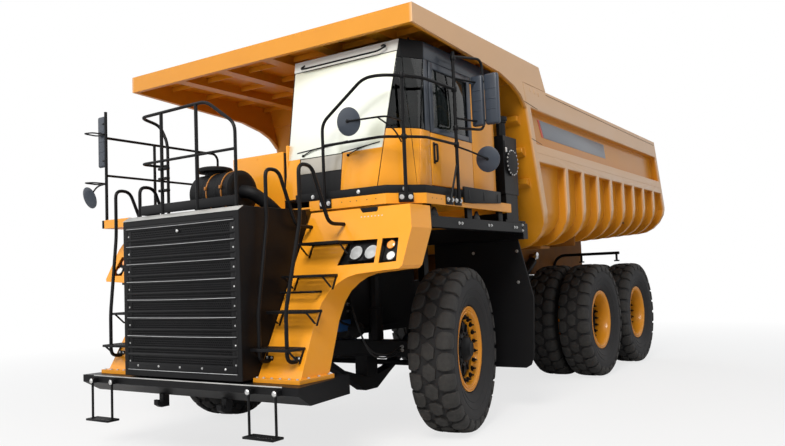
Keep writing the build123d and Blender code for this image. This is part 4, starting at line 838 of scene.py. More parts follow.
# %% Louvre folds, bright bars and margins
MOUTH = (905, 2430)
SAGS = (4, 7, 3, 6, 9, 5, 8, 2)
edges_z = [2416] + [z for strip in strips for z in strip] + [918]
folds = [plate([(-2450, low - 4), (-2466, low - 2), (-2474, (low + high) / 2), (-2466, high + 2),
                (-2450, high + 4)],
               "x", -800, 800, edge=2) for low, high in zip(edges_z[1::2], edges_z[0::2])]
for side in (1, -1):
    folds += [block(side * (COLUMNS * CELL / 2 - 10), side * 800, -2464, -2450, 918, 2416, edge=2),
              block(side * 800 - 14, side * 800 + 14, -2468, -2440, *MOUTH, edge=4)]
folds += [block(-815, 815, -2448, -2436, *MOUTH), block(-800, 800, -2471, -2450, 925, 1000, edge=4)]
make("louvre_folds", folds, black)
bars = []
for z, sag in zip(SLATS[:-1] + [925], SAGS):
    drops = ((-800, 0), (-400, 0.75), (0, 1), (420, 0.7), (800, 0))
    strip = tube([(x, -2477, z - sag * drop) for x, drop in drops], 3.6, bend=300, sides=6, steps=3)
    bmesh.ops.scale(strip, vec=(1, 1, 0.8), space=Matrix.Translation((0, 0, -z)), verts=strip.verts[:])
    bars.append(strip)
make("louvre_bright_bars", bars, bright_bar)
FRONT_WAY = (0, -1, 0)
fixings = [bolts([(x, -2471, 968) for x in (-640, -320, 0, 320, 640)], FRONT_WAY, 0.7),
           bolts([(side * 775, -2464, z) for side in (1, -1) for z in range(1010, 2400, 186)], FRONT_WAY,
                 0.55),
           turned([(0, 0), (0, 16), (6, 16), (8, 13), (10, 0)], (0, -2474, 2330), FRONT_WAY, 20),
           block(-5, 30, -2488, -2480, 2322, 2334, edge=3)]
make("louvre_fixings", fixings, bolt_steel)
make("radiator_core", [block(-770, 770, -2430, -2185, 930, 2405, edge=3)], core)

# %% [markdown]
# The bumper is a thick folded plate with cut corners. Its upper lip is rubbed bright by boots.
# Silver bolt heads hold the two hanging steps, whose treads are open frames with toothed bars.

# %% Bumper lip and hanging steps
STEP_TOP, STEP_FOOT = 786, 396
STEP_Y = -2535
dress("bumper", "bumper_plate", black, 9, segments=3)
lip = plate([(-1366, -2492), (1366, -2492), (1366, -2484), (-1366, -2484)], "z", 831, 842, edge=2.5)
make("bumper_worn_lip", [lip], worn)


def open_step(x0, x1, y0, y1, top, bars=5, depth=32):
    """An open step: a frame of flat bar, with toothed bars across it."""
    low = top - depth
    shapes = [block(x0, x1, a, a + 9, low, top, edge=2) for a in (y0, y1 - 9)]
    shapes += [block(a, a + 9, y0 + 5, y1 - 5, low, top, edge=2) for a in (x0, x1 - 9)]
    pitch = (y1 - y0 - 18) / bars
    teeth = max(3, int((x1 - x0) / 34))
    for i in range(bars):
        y = y0 + 9 + (i + 0.5) * pitch
        shapes.append(block(x0 + 5, x1 - 5, y - pitch * 0.30, y + pitch * 0.30, top - 9, top - 4, edge=1))
        for k in range(teeth):
            x = x0 + 20 + (x1 - x0 - 40) * k / (teeth - 1)
            shapes.append(turned([(0, 7), (4, 4), (4, 0)], (x, y, top - 4), steps=6))
    return together(*shapes)


for word, side in SIDES.items():
    frames, caps = [], []
    for x in (side * 996, side * 1327):
        frames += [tube([(x, STEP_Y, STEP_TOP - 14), (x, STEP_Y, STEP_FOOT - 6)], 13),
                   turned([(-15, 0), (-15, 15), (-13, 27), (13, 27), (15, 15), (15, 0)],
                          (x, STEP_Y, STEP_TOP), (0, 1, 0), 20)]
        cap = turned([(0, 0), (0, 26), (5, 26), (9, 20), (13, 16), (14, 0)], steps=20)
        caps.append(placed(facing((x, STEP_Y - 16, STEP_TOP), FRONT_WAY), cap))
    frames.append(open_step(*sorted((side * 975, side * 1348)), -2608, -2462, 397, bars=3, depth=22))
    body = f"step_{word}"
    make(f"hanging_step_frame_{word}", frames, black, f"hanging_step_{word}", body)
    make(f"hanging_step_bolts_{word}", caps, bolt_steel, body=body)

# %% [markdown]
# The legs carry the deck and turn into the front fenders. The solid has their form, with the
# openings for the lamps. A row of bolts along each foot and a row of small holes are added.

# %% Bolts and holes of the legs
LEG_BASE = (-2270, 880)
LEG_TOP = (-1405, 2490)
LEG_SLOPE = (LEG_TOP[0] - LEG_BASE[0]) / (LEG_TOP[1] - LEG_BASE[1])
LEAN = Vector((0, -1, LEG_SLOPE)).normalized()


def leg_y(z):
    """The Y of the legs' leaning face at a height."""
    return LEG_BASE[0] + LEG_SLOPE * (z - LEG_BASE[1])


dress("fender_legs", "legs_painted", yellow, 7, segments=3)
shapes = []
for side in (1, -1):
    foot = leg_y(840)
    shapes += [bolts([(side * x, foot - 25, 881) for x in (900, 985, 1085, 1190, 1300, 1400)], (0, 0, 1),
                     1.1),
               bolts([(side * 1426, foot + y, 881) for y in (100, 250, 400)], (0, 0, 1), 1.1)]
    shapes += [disc(7, 1.5, (side * x, leg_y(2395), 2395), LEAN, 10) for x in range(1560, 1840, 42)]
make("leg_bolts", shapes, bolt_steel)
print("leg face leans along", [round(c, 3) for c in LEAN])

# %% [markdown]
# A round lamp is four turned parts: a black housing, a bowl that shines like a mirror, a bulb
# shade and a domed lens. Lens and bowl are apart, because the depth between them is what tells
# a lamp from a white disc.

# %% Lamps
HEADLAMP_Z = 2031
SIGNAL_X, SIGNAL_Z = 2010, 2035
housings, bowls, lenses, ambers, whites = ([] for _ in range(5))
for side in (1, -1):
    for x in (1614, 1796):
        at = facing((side * x, leg_y(HEADLAMP_Z) + 14, HEADLAMP_Z), LEAN)
        housings += [placed(at, plate([(-92, -86), (92, -86), (92, 86), (-92, 86)], "z", -70, -6, edge=9)),
                     placed(at, turned([(-8, 88), (8, 86), (12, 80), (8, 74), (-8, 74)], steps=40))]
        bowls += [placed(at, turned([(4, 74), (-10, 66), (-24, 46), (-30, 22), (-31, 0)], steps=40)),
                  placed(at, turned([(-31, 0), (-10, 12), (-2, 14), (0, 0)], steps=20))]
        lenses.append(placed(at, turned([(6, 76), (10, 60), (13, 30), (14, 0)], steps=40)))
    at = facing((side * SIGNAL_X, leg_y(SIGNAL_Z) + 34, SIGNAL_Z), LEAN)
    housings.append(placed(at, plate([(-82, -104), (70, -104), (70, 104), (-82, 104)], "z", -20, -4,
                                     edge=12)))
    for dx, dz, store in ((-12, 56, ambers), (18, -52, whites)):
        at = facing((side * (SIGNAL_X + dx), leg_y(SIGNAL_Z + dz) + 30, SIGNAL_Z + dz), LEAN)
        housings.append(placed(at, turned([(-6, 52), (4, 52), (7, 47), (-2, 46)], steps=32)))
        store.append(placed(at, turned([(2, 47), (12, 43), (19, 30), (22, 0)], steps=32)))
    back = plate([(1400, 1895), (1895, 1905), (1860, 2180), (1460, 2180)], "y", 0, 8)
    for v in back.verts:
        v.co = Vector((side * v.co.x, v.co.y + leg_y(v.co.z) + 66, v.co.z))
    bmesh.ops.recalc_face_normals(back, faces=back.faces[:])
    housings.append(back)
make("lamp_bodies", housings, trim_black, "headlamps")
make("lamp_bowls", bowls, bowl)
# The lenses' pale veil is a painted reflection of the bright bowl.
make("lamp_lenses", lenses, lens_clear)
make("turn_lamp_lenses", ambers, amber)
make("side_lamp_lenses", whites, lens_white)

# %% [markdown]
# The stairs are four open treads on each leg, each on two triangular brackets, with a rung
# between the lower ones. Two hooped rails run beside them, bent from one tube each.

# %% Stairs and hooped rails
STAIRS = ((1160, 890, 1350), (1500, 930, 1420), (1835, 980, 1480), (2155, 1040, 1560))
RUNG_Z = 1668
RAIL_FEET = (945, 1290)
shapes = []
for side in (1, -1):
    for z, x0, x1 in STAIRS:
        back = leg_y(z - 25) - 1
        low = z - 150
        low_y = leg_y(low)
        x0, x1 = sorted((side * x0, side * x1))
        shapes.append(open_step(x0, x1, back - 258, back, z, bars=5, depth=26))
        for x in (x0 + 6, x1 - 12):
            brace = [(back - 235, z - 26), (back - 205, z - 26), (low_y - 20, low + 20),
                     (low_y - 50, low + 20)]
            spine = [(back - 26, z - 20), (back, z - 20), (low_y - 1, low), (low_y - 28, low)]
            shapes += [block(x, x + 6, leg_y(z - 90) - 46, low_y - 1, low, low + 20, edge=1),
                       plate(brace, "x", x, x + 6, edge=1), plate(spine, "x", x, x + 6, edge=1)]
    rung_y = leg_y(RUNG_Z)
    rung = [(900, rung_y - 4), (900, rung_y - 120), (1330, rung_y - 120), (1330, rung_y - 4)]
    shapes.append(tube([(side * x, y, RUNG_Z) for x, y in rung], 11, bend=30, sides=8))
    for low_x, x in zip(RAIL_FEET, (945, 1370)):
        line = [(low_x, -2060, 1030), (low_x, -2325, 1030), (low_x, -2325, 1500), (x, -2180, 2360),
                (x, -2180, 2888), (x, -1990, 2888), (x, -1745, 2335), (x, -1500, 2335)]
        shapes += [tube([(side * a, b, c) for a, b, c in line], 19, bend=85, sides=14),
                   block(side * (low_x - 45), side * (low_x + 45), -2190, -2178, 985, 1075, edge=3)]
make("stair_frames", shapes, black, "stairs")
shapes = [bolts([(side * (x + d), -2191, z) for x in RAIL_FEET for d in (-28, 28) for z in (1005, 1058)],
                FRONT_WAY, 0.8) for side in (1, -1)]
make("stair_bolts", shapes, bolt_steel)

# %% [markdown]
# ## The cab
# The cab is a black steel cell with painted panels on it. The windscreen is one large sheet,
# glued over the cell, so no frame shows beside it: below it lies a dark lower pane, above it a
# pale fascia. The corner is faceted. Each panel is drawn in X and Z and then pushed back onto
# its leaning facet, so neighbours meet at an even gap.

# %% Cab cell and a helper for panels on its facets
BASE_Z, TOP_Z = 2645, 4255
SILL = 3300
HEAD = 4052
EDGE_LOW, EDGE_HIGH = (1680, -1350, BASE_Z), (1870, -1100, TOP_Z)
SIDE_LOW, SIDE_HIGH = (2000, -1060, BASE_Z), (2000, -850, TOP_Z)
FRONT = ((450, -1350, BASE_Z), EDGE_LOW, EDGE_HIGH)
CORNER_LOW = (EDGE_LOW, SIDE_LOW, EDGE_HIGH)
CORNER_HIGH = (SIDE_LOW, SIDE_HIGH, EDGE_HIGH)
dress("cab_shell", "cab_cell", black, 5)


def up_share(z):
    """How far up the cab a height is, from 0 to 1."""
    return (z - BASE_Z) / (TOP_Z - BASE_Z)


def corner_x(z, away=0):
    """X of the windscreen's outer edge at a height."""
    return EDGE_LOW[0] + (EDGE_HIGH[0] - EDGE_LOW[0]) * up_share(z) + away


def middle_x(z, away=0):
    """X of the fold between the two corner facets at a height."""
    return SIDE_LOW[0] + (EDGE_HIGH[0] - SIDE_LOW[0]) * up_share(z) + away


def on_facet(outline, facet, proud, back=-20, edge=3):
    """A panel drawn as (X, Z) and laid on one of the leaning facets."""
    origin, second, third = (Vector(corner) for corner in facet)
    n = (second - origin).cross(third - origin)
    bm = plate(outline, "y", -proud, -back, edge=edge)
    for v in bm.verts:
        v.co.y += origin.y - (n.x * (v.co.x - origin.x) + n.z * (v.co.z - origin.z)) / n.y
    return bm


def arc(x, z, radius, start, end, steps=8):
    """Points of an arc, by degrees."""
    angles = [math.radians(start + (end - start) * i / steps) for i in range(steps + 1)]
    return [(x + radius * math.cos(a), z + radius * math.sin(a)) for a in angles]


# %% Painted panels of the front, corner, side, back and inner side
near = [(1225, 2662), *arc(1425, 3090, 205, 180, 90)[:-1], (1500, 3300), (corner_x(SILL, -6), SILL),
        (1682, 2662)]
far_patch = [(455, 2662), (455, 3210), *arc(520, 3110, 110, 100, 0, 6), (640, 2662)]
corner_low = [(1688, 2662), (1995, 2662), (middle_x(SILL, -2), SILL), (corner_x(SILL, 3), SILL)]
corner_high = [(1998, 2662), (2001, 2662), (2001, SILL), (middle_x(SILL, 3), SILL)]
make("cab_painted_panels", [
    on_facet(near, FRONT, 7), on_facet(far_patch, FRONT, 7),
    on_facet(corner_low, CORNER_LOW, 6), on_facet(corner_high, CORNER_HIGH, 5),
    plate([(-1045, 2662), (-790, 2662), (-790, SILL), (-965, SILL)], "x", 1985, 2006, edge=3),
    plate([(168, 2662), (742, 2662), (742, 3960), (650, 3990), (168, 3990)], "x", 1985, 2006, edge=4),
    plate([(-774, 2728), (154, 2728), (154, 3290), (-774, 3290)], "x", 1985, 2009, edge=6, segments=3),
    block(470, 1990, 738, 756, 2665, 3240, edge=4), block(444, 470, -1300, -420, 2665, 3280, edge=4),
    block(444, 470, 520, 740, 2665, 3990, edge=4)], yellow)

# %% Fascia, roof and dark panels
fascia = [(452, 4128), (corner_x(4128, -4), 4128), (corner_x(4250, -4), 4250), (452, 4250)]
make("cab_fascia", [on_facet(fascia, FRONT, 8, edge=5)], pale_grey)
brow_low = [(corner_x(4060, 3), 4060), (middle_x(4060, -2), 4060), (corner_x(4252, 2), 4252)]
brow_high = [(middle_x(4060, 2), 4060), (2002, 4060), (2002, 4250), (corner_x(4252, 4), 4252)]
roof = [(470, -1085), (1866, -1085), (1990, -850), (1990, 735), (470, 735)]
make("cab_dark_panels", [
    on_facet([(655, 2662), (1215, 2662), (1215, 2925), (655, 2925)], FRONT, 5),
    on_facet(brow_low, CORNER_LOW, 6), on_facet(brow_high, CORNER_HIGH, 6),
    plate(roof, "z", 4235, 4259, edge=9, segments=3)], trim_black)
leaf_bars = [(-774, -700, 3292, 4058), (74, 154, 3292, 4058), (-705, 80, 3985, 4058), (-705, 80, 3292, 3352)]
make("cab_door_frame", [
    plate([(-860, 4062), (742, 4062), (742, 4250), (-852, 4250)], "x", 1990, 2008, edge=6),
    plate([(-880, SILL), (-790, SILL), (-790, 4062), (-868, 4062)], "x", 1990, 2010, edge=7),
    plate([(168, 3995), (742, 3995), (742, 4062), (168, 4062)], "x", 1990, 2008, edge=4),
    *(block(1990, 2014, *sizes, edge=7) for sizes in leaf_bars)], blue_grey)

# %% [markdown]
# The glass. The windscreen is pale because it mirrors the sky, and that paleness is painted on as a
# pale diffuse veil. Its lower pane is a smoky brown-grey. The corner and side panes are dark. All are
# thin plates with rounded edges.

# %% Panes
def pane(outline, facet, proud=7):
    """A thin pane on a facet of the cab."""
    return on_facet(outline, facet, proud, back=-1, edge=2)


screen = [(470, 3108), (corner_x(3108, -6), 3108), (corner_x(4118, -6), 4118), (470, 4118)]
make("windscreen", [pane(screen, FRONT, 9)], screen_glass)
make("lower_pane", [pane([(645, 2932), (1214, 2932), (1214, 3100), (645, 3100)], FRONT)], smoky)
foot = SILL + 6
near_corner = [(corner_x(SILL, 4), foot), (middle_x(SILL, -2), foot), (middle_x(HEAD, -2), HEAD),
               (corner_x(HEAD, 4), HEAD)]
far_corner = [(middle_x(SILL, 2), foot), (1999, foot), (1999, HEAD), (middle_x(HEAD, 2), HEAD)]
make("corner_panes", [
    pane(near_corner, CORNER_LOW), pane(far_corner, CORNER_HIGH),
    plate([(-960, foot), (-885, foot), (-870, HEAD), (-872, HEAD)], "x", 2000, 2006, edge=1)], side_glass)
make("side_panes", [
    block(1994, 2000, -700, 74, 3345, 3990, edge=2), block(1994, 2000, 280, 650, 3345, 3990, edge=2),
    block(600, 1850, 738, 745, 3290, 4050, edge=2), block(453, 460, -950, -500, 3290, 4050, edge=2)],
     side_glass, "cab_glass")

# %% Grab bar, wipers, handle, seals and roof eye
def front_at(x, z, proud):
    """A point this far before the cab's leaning front."""
    return (x, EDGE_LOW[1] + (EDGE_HIGH[1] - EDGE_LOW[1]) * up_share(z) - proud, z)


def handle(x, reach, y):
    """A bent door handle that stands off a wall by its reach."""
    return tube([(x, y, 2985), (reach, y, 2985), (reach, y, 3165), (x, y, 3165)], 11, bend=34)


grab_bar = ((600, 4195, 4), (575, 4150, 50), (650, 4142, 52), (1640, 4150, 52), (1742, 4185, 50),
            (1690, 4212, 30), (1650, 4212, 4))
shapes = [tube([front_at(*spot) for spot in grab_bar], 10, bend=45, sides=10)]
for x, reach, z in ((560, 560, 3150), (1180, 360, 3085)):
    arm = [front_at(x + 120, z - 12, 20), front_at(x + 260, z + 40, 26), front_at(x + reach, z + 62, 18)]
    blade = [(x + 30, z + 22), (x + reach + 160, z + 76), (x + reach + 160, z + 88), (x + 30, z + 34)]
    shapes += [turned([(0, 0), (0, 16), (14, 14), (18, 0)], front_at(x + 120, z - 12, 6), (0, -1, 0.1), 16),
               tube(arm, 6, bend=60, sides=8),
               tube([front_at(x + 40, z + 28, 14), front_at(x + reach + 150, z + 80, 14)], 5, sides=6),
               on_facet(blade, FRONT, 14, back=-9, edge=1)]
shapes += [turned([(0, 0), (0, 20), (8, 18), (10, 0)], (2006, -722, z), (1, 0, 0), 16) for z in (2985, 3165)]
shapes += [handle(2008, 2052, -722), block(2008, 2016, -742, -702, 2960, 3190, edge=4)]
shapes += [block(1996, 2004, -706, 80, z - 6, z + 6, edge=2) for z in (3350, 3984)]
shapes.append(turned([(-5, 20), (0, 15), (5, 20), (0, 27), (-5, 20)], (1890, -960, 4270), (1, 0.3, 0), 20))
make("cab_small_parts", shapes, trim_black)

# %% [markdown]
# The operator's door is in the cab's inner side, over the centre deck. It has a painted skin, a
# blue-grey frame about its pane, a black handle and two hinges. Inside stand the seat with its
# soft cushions, the dashboard and the yellow grab rail that shows through the glass.

# %% Door in the inner side
LEAF = {"body": "cab_door_leaf"}
skin = block(441, 494, -391, 491, 2729, 3290, edge=8, segments=3)
make("door_skin", [skin], yellow, "cab_door", **LEAF)
leaf_bars = [(-391, -312, 3292, 4121), (392, 491, 3292, 4121), (-316, 396, 4050, 4121),
             (-316, 396, 3280, 3300)]
make("door_frame", [block(440, 494, *sizes, edge=7) for sizes in leaf_bars], blue_grey, **LEAF)
shapes = [handle(444, 400, -340)]
for z in (2850, 3900):
    shapes += [bar((435.7, 508, z - 50), (435.7, 508, z + 50), 14, 16, edge=2),
               block(434, 448, 430, 500, z - 38, z + 38, edge=4)]
make("door_fittings", shapes, trim_black, **LEAF)
make("door_pane", [block(462, 470, -310, 390, 3292, 4048, edge=2)], side_glass, "door_glass", **LEAF)

# %% Inside the cab
SEAT_LEAN = math.radians(81)
dress("dashboard", "dash", trim_black, 6, slot="trim")
make("inner_grab_rails", [
    tube([(1960, -620, 2900), (1960, -620, 3560), (1960, -470, 3640), (1960, -300, 3560), (1960, -300, 3000)],
         15),
    tube([(1700, -900, 2700), (1700, -900, 3500), (1560, -900, 3560)], 14, bend=60)], yellow)


def cushion(x0, x1, y0, y1, z0, z1, crown):
    """A padded block: its face is crowned, with a sunk seam on both sides."""
    bm = block(x0, x1, y0, y1, z0, z1, edge=34, segments=4)
    bmesh.ops.subdivide_edges(bm, edges=[e for e in bm.edges if e.calc_length() > 60], cuts=7,
                              use_grid_fill=True)
    for v in bm.verts:
        u = (2 * v.co.x - x0 - x1) / (x1 - x0)
        w = (2 * v.co.y - y0 - y1) / (y1 - y0)
        if v.co.z > (z0 + z1) / 2:
            v.co.z += crown * (1 - u * u) * (1 - w * w) - 12 * math.exp(-((abs(u) - 0.55) / 0.07) ** 2)
    return bm


lean_back = Matrix.Translation((0, 208, 3432)) @ Matrix.Rotation(SEAT_LEAN, 4, "X")
seat_pads = make("seat_pads", [
    cushion(1068, 1582, -376, 146, 2992, 3100, 28),
    placed(lean_back, cushion(1080, 1570, -320, 320, -45, 45, 26))], seat_cloth, "seat", sharp=60)
make("seat_base", [block(1150, 1500, -290, 110, 2692, 2760, edge=12),
                   block(1190, 1460, -240, 60, 2755, 2992, edge=10)], trim_black, slot="trim")

# %% [markdown]
# ## The bed and its canopy
# The tub is a sloping trough with round lower corners, wrapped by curved ribs and two long
# rails. Its solid already has those forms, so it is dressed: smooth across the fine facets of
# the round corners, with a soft bevel on every plate edge. The bed's paint is darker than the cab's,
# because it is older and carries stone dust, and its outer faces are lightened: a painted sheen of the sky.

# %% Bed shell, canopy and underframe
BED = {"body": "bed"}
dress("bed_shell", "bed_tub", bed_yellow, 10, sharp=30, **BED)
dress("bed_canopy", "canopy_plates", bed_yellow, 7, **BED)
# The underframe's darker paint is painted shade under the bed.
dress("bed_underframe", "bed_under_beams", shaded_under_yellow, 6, **BED)

# %% [markdown]
# Weld seams and plate joints are what shows the scale of such large plates. A seam is a thin
# dark line where two plates meet, or a low bead along a joint. Under the canopy, stiffeners run
# across between the long beams. The sign on the side is left as a blank grey panel.

# %% Seams, beads and half-moon lugs
BED_X = 2169
SEAMS = ([(1345, 3962), (1760, 3922)], [(1530, 3500), (1860, 3462)],
         [(2085, 4168), (4800, 4152), (7520, 4140)])
BEAM_GAPS = ((-2105, -1585), (-1415, -835), (-665, -85), (85, 665), (835, 1415), (1585, 2105))


def weld(line, x):
    """A thin weld along a line of (Y, Z) points on a side of the bed."""
    return tube([(x, y, z) for y, z in line], 4, bend=1, sides=6, steps=1)


shapes = [weld(line, side * (BED_X + 0.6)) for side in (1, -1) for line in SEAMS]
make("bed_seams", shapes, seam_dark, **BED)
shapes = []
for side in (1, -1):
    shapes += [turned([(0, 0), (0, 34), (4, 34), (6, 28), (6, 0)], (side * (BED_X - 3), y, z), (side, 0, 0),
                      20)
               for y, z in ((1560, 4150), (1700, 4142), (1840, 4134))]
    shapes.append(weld([(1700, 3337), (4800, 3332), (7900, 3327)], side * BED_X))
shapes += [block(x0, x1, y - 6, y + 6, 4425, 4490, edge=2) for y in (-700, -80, 540, 1100) for x0,
           x1 in BEAM_GAPS]
make("bed_beads", shapes, bed_yellow, **BED)

# %% Blank sign panels with a red strip, and drain plugs
panels, strips_red, plugs = [], [], []
for side in (1, -1):
    faces = sorted((side * 2048, side * 2053))
    panels.append(plate([(2090, 3842), (4800, 3832), (4870, 3608), (2230, 3612)], "x", *faces, edge=1.5))
    strips_red.append(plate([(2020, 3842), (2078, 3842), (2218, 3612), (2160, 3612)], "x", *faces, edge=1.5))
    plugs += [turned([(0, 0), (0, 17), (10, 17), (12, 12), (12, 0)], (side * 2046, y, z), (side, 0, 0), 16)
              for y, z in ((3060, 3000), (5660, 3010), (5630, 2560))]
make("bed_sign_panels", panels, sign_grey, **BED)
make("bed_sign_strips", strips_red, strip_red, **BED)
make("bed_drain_plugs", plugs, black, **BED)

# %% [markdown]
# ## Deck, rails and mirrors
# The deck is painted plate with a folded skirt. A black kick strip stands on its edge, held by
# bright bolts, and black two-bolt brackets clamp each rail post to the skirt.

# %% Deck plates and kick strip
BOLT_Z = 2572
CORNER_WAY = (0.75, -0.66, 0)
LEFT_WAY = (1, 0, 0)
dress("deck", "deck_plates", yellow, 5)
edge_line = [(660, -1408), (1834, -1408), (2108, -1094), (2108, -350)]
shapes = [plate([(x0, y0), (x1, y1), (x1 - 6, y1 + 7), (x0 - 6, y0 + 7)], "z", 2616, 2700, edge=2)
          for (x0, y0), (x1, y1) in zip(edge_line, edge_line[1:])]
for x, y, turn in ((1080, -1424, 0), (1992, -1283, 48.8), (2124, -460, 90), (2124, -640, 90)):
    spot = Matrix.Translation((x, y, 0)) @ Matrix.Rotation(math.radians(turn), 4, "Z")
    shapes.append(placed(spot, block(-78, 78, -9, 9, 2520, 2620, edge=8)))
make("deck_kick_strip", shapes, trim_black)
shapes = []
for d in (-46, 46):
    shapes += [bolts([(1080 + d, -1434, BOLT_Z)], FRONT_WAY, 1.5),
               bolts([(1998 + d * 0.66, -1290 + d * 0.75, BOLT_Z)], CORNER_WAY, 1.5),
               bolts([(2134, -460 + d, BOLT_Z), (2134, -640 + d, BOLT_Z)], LEFT_WAY, 1.5)]
shapes += [bolts([(900, -1410, 2660), (1500, -1410, 2660)], FRONT_WAY, 1.3),
           bolts([(1965, -1260, 2660)], CORNER_WAY, 1.5)]
make("deck_bolts", shapes, bolt_steel)
shapes = [disc(6, 1.2, (x, -1420, 2570), FRONT_WAY) for x in (1290, 1400, 1480, 1610, 1720)]
shapes += [disc(6, 1.2, (2120, y, 2570), LEFT_WAY) for y in (-990, -900, -800, -560)]
make("deck_skirt_holes", shapes, seam_dark)

# %% [markdown]
# The rails are bent tubes of 34 to 38 mm with clamps where two meet. The CAD model has them
# with mitred corners, which is sound for a solid, but a real bender leaves a soft radius.

# %% Rails of the near side
OUT_X = 2139.3
POST = 19
PX, PY = 1990, -1278
LAST_Y = -460


def post(x, y, low, high):
    """An upright tube that the rails are clamped to."""
    return tube([(x, y, low), (x, y, high)], POST, sides=14)


rails = [
    tube([(1080, -1439, 2560), (1080, -1439, 3420), (1625, -1439, 3805), (1830, -1439, 3805), (PX, PY, 3803),
          (OUT_X, -1100, 3787), (OUT_X, LAST_Y, 3785)], 17, bend=95, sides=14),
    tube([(1080, -1439, 3180), (1830, -1439, 3180), (PX, PY, 3180), (OUT_X, -1100, 3180),
          (OUT_X, LAST_Y, 3180)], 15,
         bend=60),
    post(PX, PY, 2575, 3835), post(OUT_X, LAST_Y, 2560, 4200),
    tube([(OUT_X, -640, 2560), (OUT_X, -480, 2950)], 12, sides=10),
    tube([(OUT_X, LAST_Y, 3360), (2225, 60, 3400), (2225, 60, 4215), (OUT_X, LAST_Y, 4150),
          (OUT_X, LAST_Y, 4080)],
         15, bend=110)]
clamp_places = [(PX, PY, 3803), (PX, PY, 3180)] + [(OUT_X, LAST_Y, z) for z in (3785, 3180, 3360, 4130)]
rails += [turned([(-26, 0), (-26, 26), (-20, 29), (20, 29), (26, 26), (26, 0)], spot, steps=16)
          for spot in clamp_places]

# %% Rails of the far side and behind the radiator
FAR_X = -OUT_X
FAR_TOP = 3655
FAR_FRONT = -1745
HATCH_Y = -2330
rails += [tube([(FAR_X, FAR_FRONT, FAR_TOP), (FAR_X, 70, FAR_TOP), (FAR_X, 130, FAR_TOP - 60),
                (FAR_X, 130, 2560)], 17,
               bend=60),
          tube([(FAR_X, FAR_FRONT, 3180), (FAR_X, 130, 3180)], 15)]
for y, high in ((FAR_FRONT, 3985), (-1000, 3650), (-250, 3650)):
    rails += [post(FAR_X, y, 2560, high), block(FAR_X - 18, -2120, y - 60, y + 60, 2515, 2615, edge=6)]
rails.append(block(FAR_X - 18, -2120, 70, 190, 2515, 2615, edge=6))
for z in (3080, 3700):
    rails.append(tube([(FAR_X, FAR_FRONT, z), (FAR_X - 10, -1930, z), (FAR_X - 190, -1930, z + 12),
                       (FAR_X - 190, FAR_FRONT, z + 6), (FAR_X, FAR_FRONT, z - 4)], 9, bend=50, sides=8))
y = HATCH_Y
rails += [
    tube([(700, y, 2520), (700, y, 3350), (300, y, 3630), (-720, y, 3610), (-720, y + 260, 3560),
          (-600, y + 260, 3350), (-600, y + 260, 2520)], 17, bend=90, sides=14),
    tube([(700, y, 3100), (-720, y, 3100), (-720, y + 260, 3100), (-600, y + 260, 3100)], 15, bend=80),
    post(-385, y, 2520, 3612), post(150, y, 2520, 3624),
    block(-740, 720, y - 5, y + 5, 2545, 2645, edge=3), block(-740, -730, y - 5, y + 250, 2545, 2645, edge=3)]
rails += [block(x - 28, x + 60, y - 34, y + 10, z - 14, z + 14, edge=5)
          for x in (-385, -330) for z in (2780, 2905, 3010)]
make("bent_rails", rails, black, "guard_rails")

# %% [markdown]
# A mirror is a moulded shell with rounded corners: here its back shows, so the shell's crown
# and its ribs matter more than the glass. The round mirrors are shallow domes on thin arms.

# %% Mirrors
def shell(x0, x1, y0, y1, z0, z1):
    """A mirror's shell: a rounded box with three low ribs on its back."""
    ribs = [z0 + (z1 - z0) * share for share in (0.3, 0.5, 0.7)]
    return together(block(x0, x1, y0, y1, z0, z1, edge=26, segments=4),
                    *(block(x0 + 22, x1 - 22, y0 - 4, y0 + 4, z - 6, z + 6, edge=3) for z in ribs))


def dome(radius, place, way):
    """A shallow round mirror with a rolled edge."""
    profile = [(0, 0), (4, radius * 0.5), (10, radius * 0.85), (18, radius), (26, radius - 2),
               (26, radius - 10), (20, 0)]
    way = Vector(way).normalized()
    return turned(profile, Vector(place) - way * 12, way, 40)


def arm(*points, radius=10, bend=60, sides=10):
    """A mirror's bent arm."""
    return tube(points, radius, bend=bend, sides=sides)


BACK_BOSS = [(0, 0), (0, 20), (8, 18), (12, 0)]
shells, arms, faces = [], [], []
for x, wide in ((2169, 150), (2335, 165)):
    shells.append(shell(x, x + wide, -140, -72, 3415, 3985))
    faces.append(block(x + 12, x + wide - 12, -74, -68, 3440, 3960, edge=2))
shells += [shell(-2345, -2200, -1722, -1672, 3300, 3950), dome(140, (2439, -330, 3000), (0, 1, 0.12)),
           dome(140, (-2429, -1792, 2922), (0.1, 1, 0.35)), dome(145, (1545, -1604, 3348), (0, 1, 0.12))]
faces.append(block(-2333, -2212, -1674, -1668, 3325, 3925, edge=2))
arms += [arm((OUT_X, LAST_Y, z), (OUT_X + 40, -300, z), (2235, -100, z), (2480, -100, z), radius=11, bend=80)
         for z in (3470, 3910)]
arms += [arm((FAR_X, FAR_FRONT, z), (-2275, -1705, z), radius=11) for z in (3380, 3850)]
arms += [
    arm((OUT_X, LAST_Y, 3160), (2290, -420, 3090), (2439, -352, 3004)),
    turned(BACK_BOSS, (2439, -338, 3002), FRONT_WAY, 16),
    arm((FAR_X, FAR_FRONT, 3080), (-2300, -1765, 3060), (-2429, -1785, 2935)),
    turned(BACK_BOSS, (1545, -1616, 3350), FRONT_WAY, 16),
    arm((1990, -1297, 3340), (2000, -1600, 3340), (1545, -1622, 3348), bend=90),
    arm((1992, -1330, 3120), (1996, -1450, 3230), (1900, -1606, 3342), radius=8, bend=90, sides=8)]
make("mirror_shells", shells, blue_grey, "mirrors", slot="mirror_shell")
make("mirror_arms", arms, black)
make("mirror_faces", faces, bowl, slot="glass")

# %% [markdown]
# On the deck stand the painted cabinet, the air cleaner behind the radiator's top and, behind
# the cab, the hydraulic oil tank with its round bolted cover and breather.

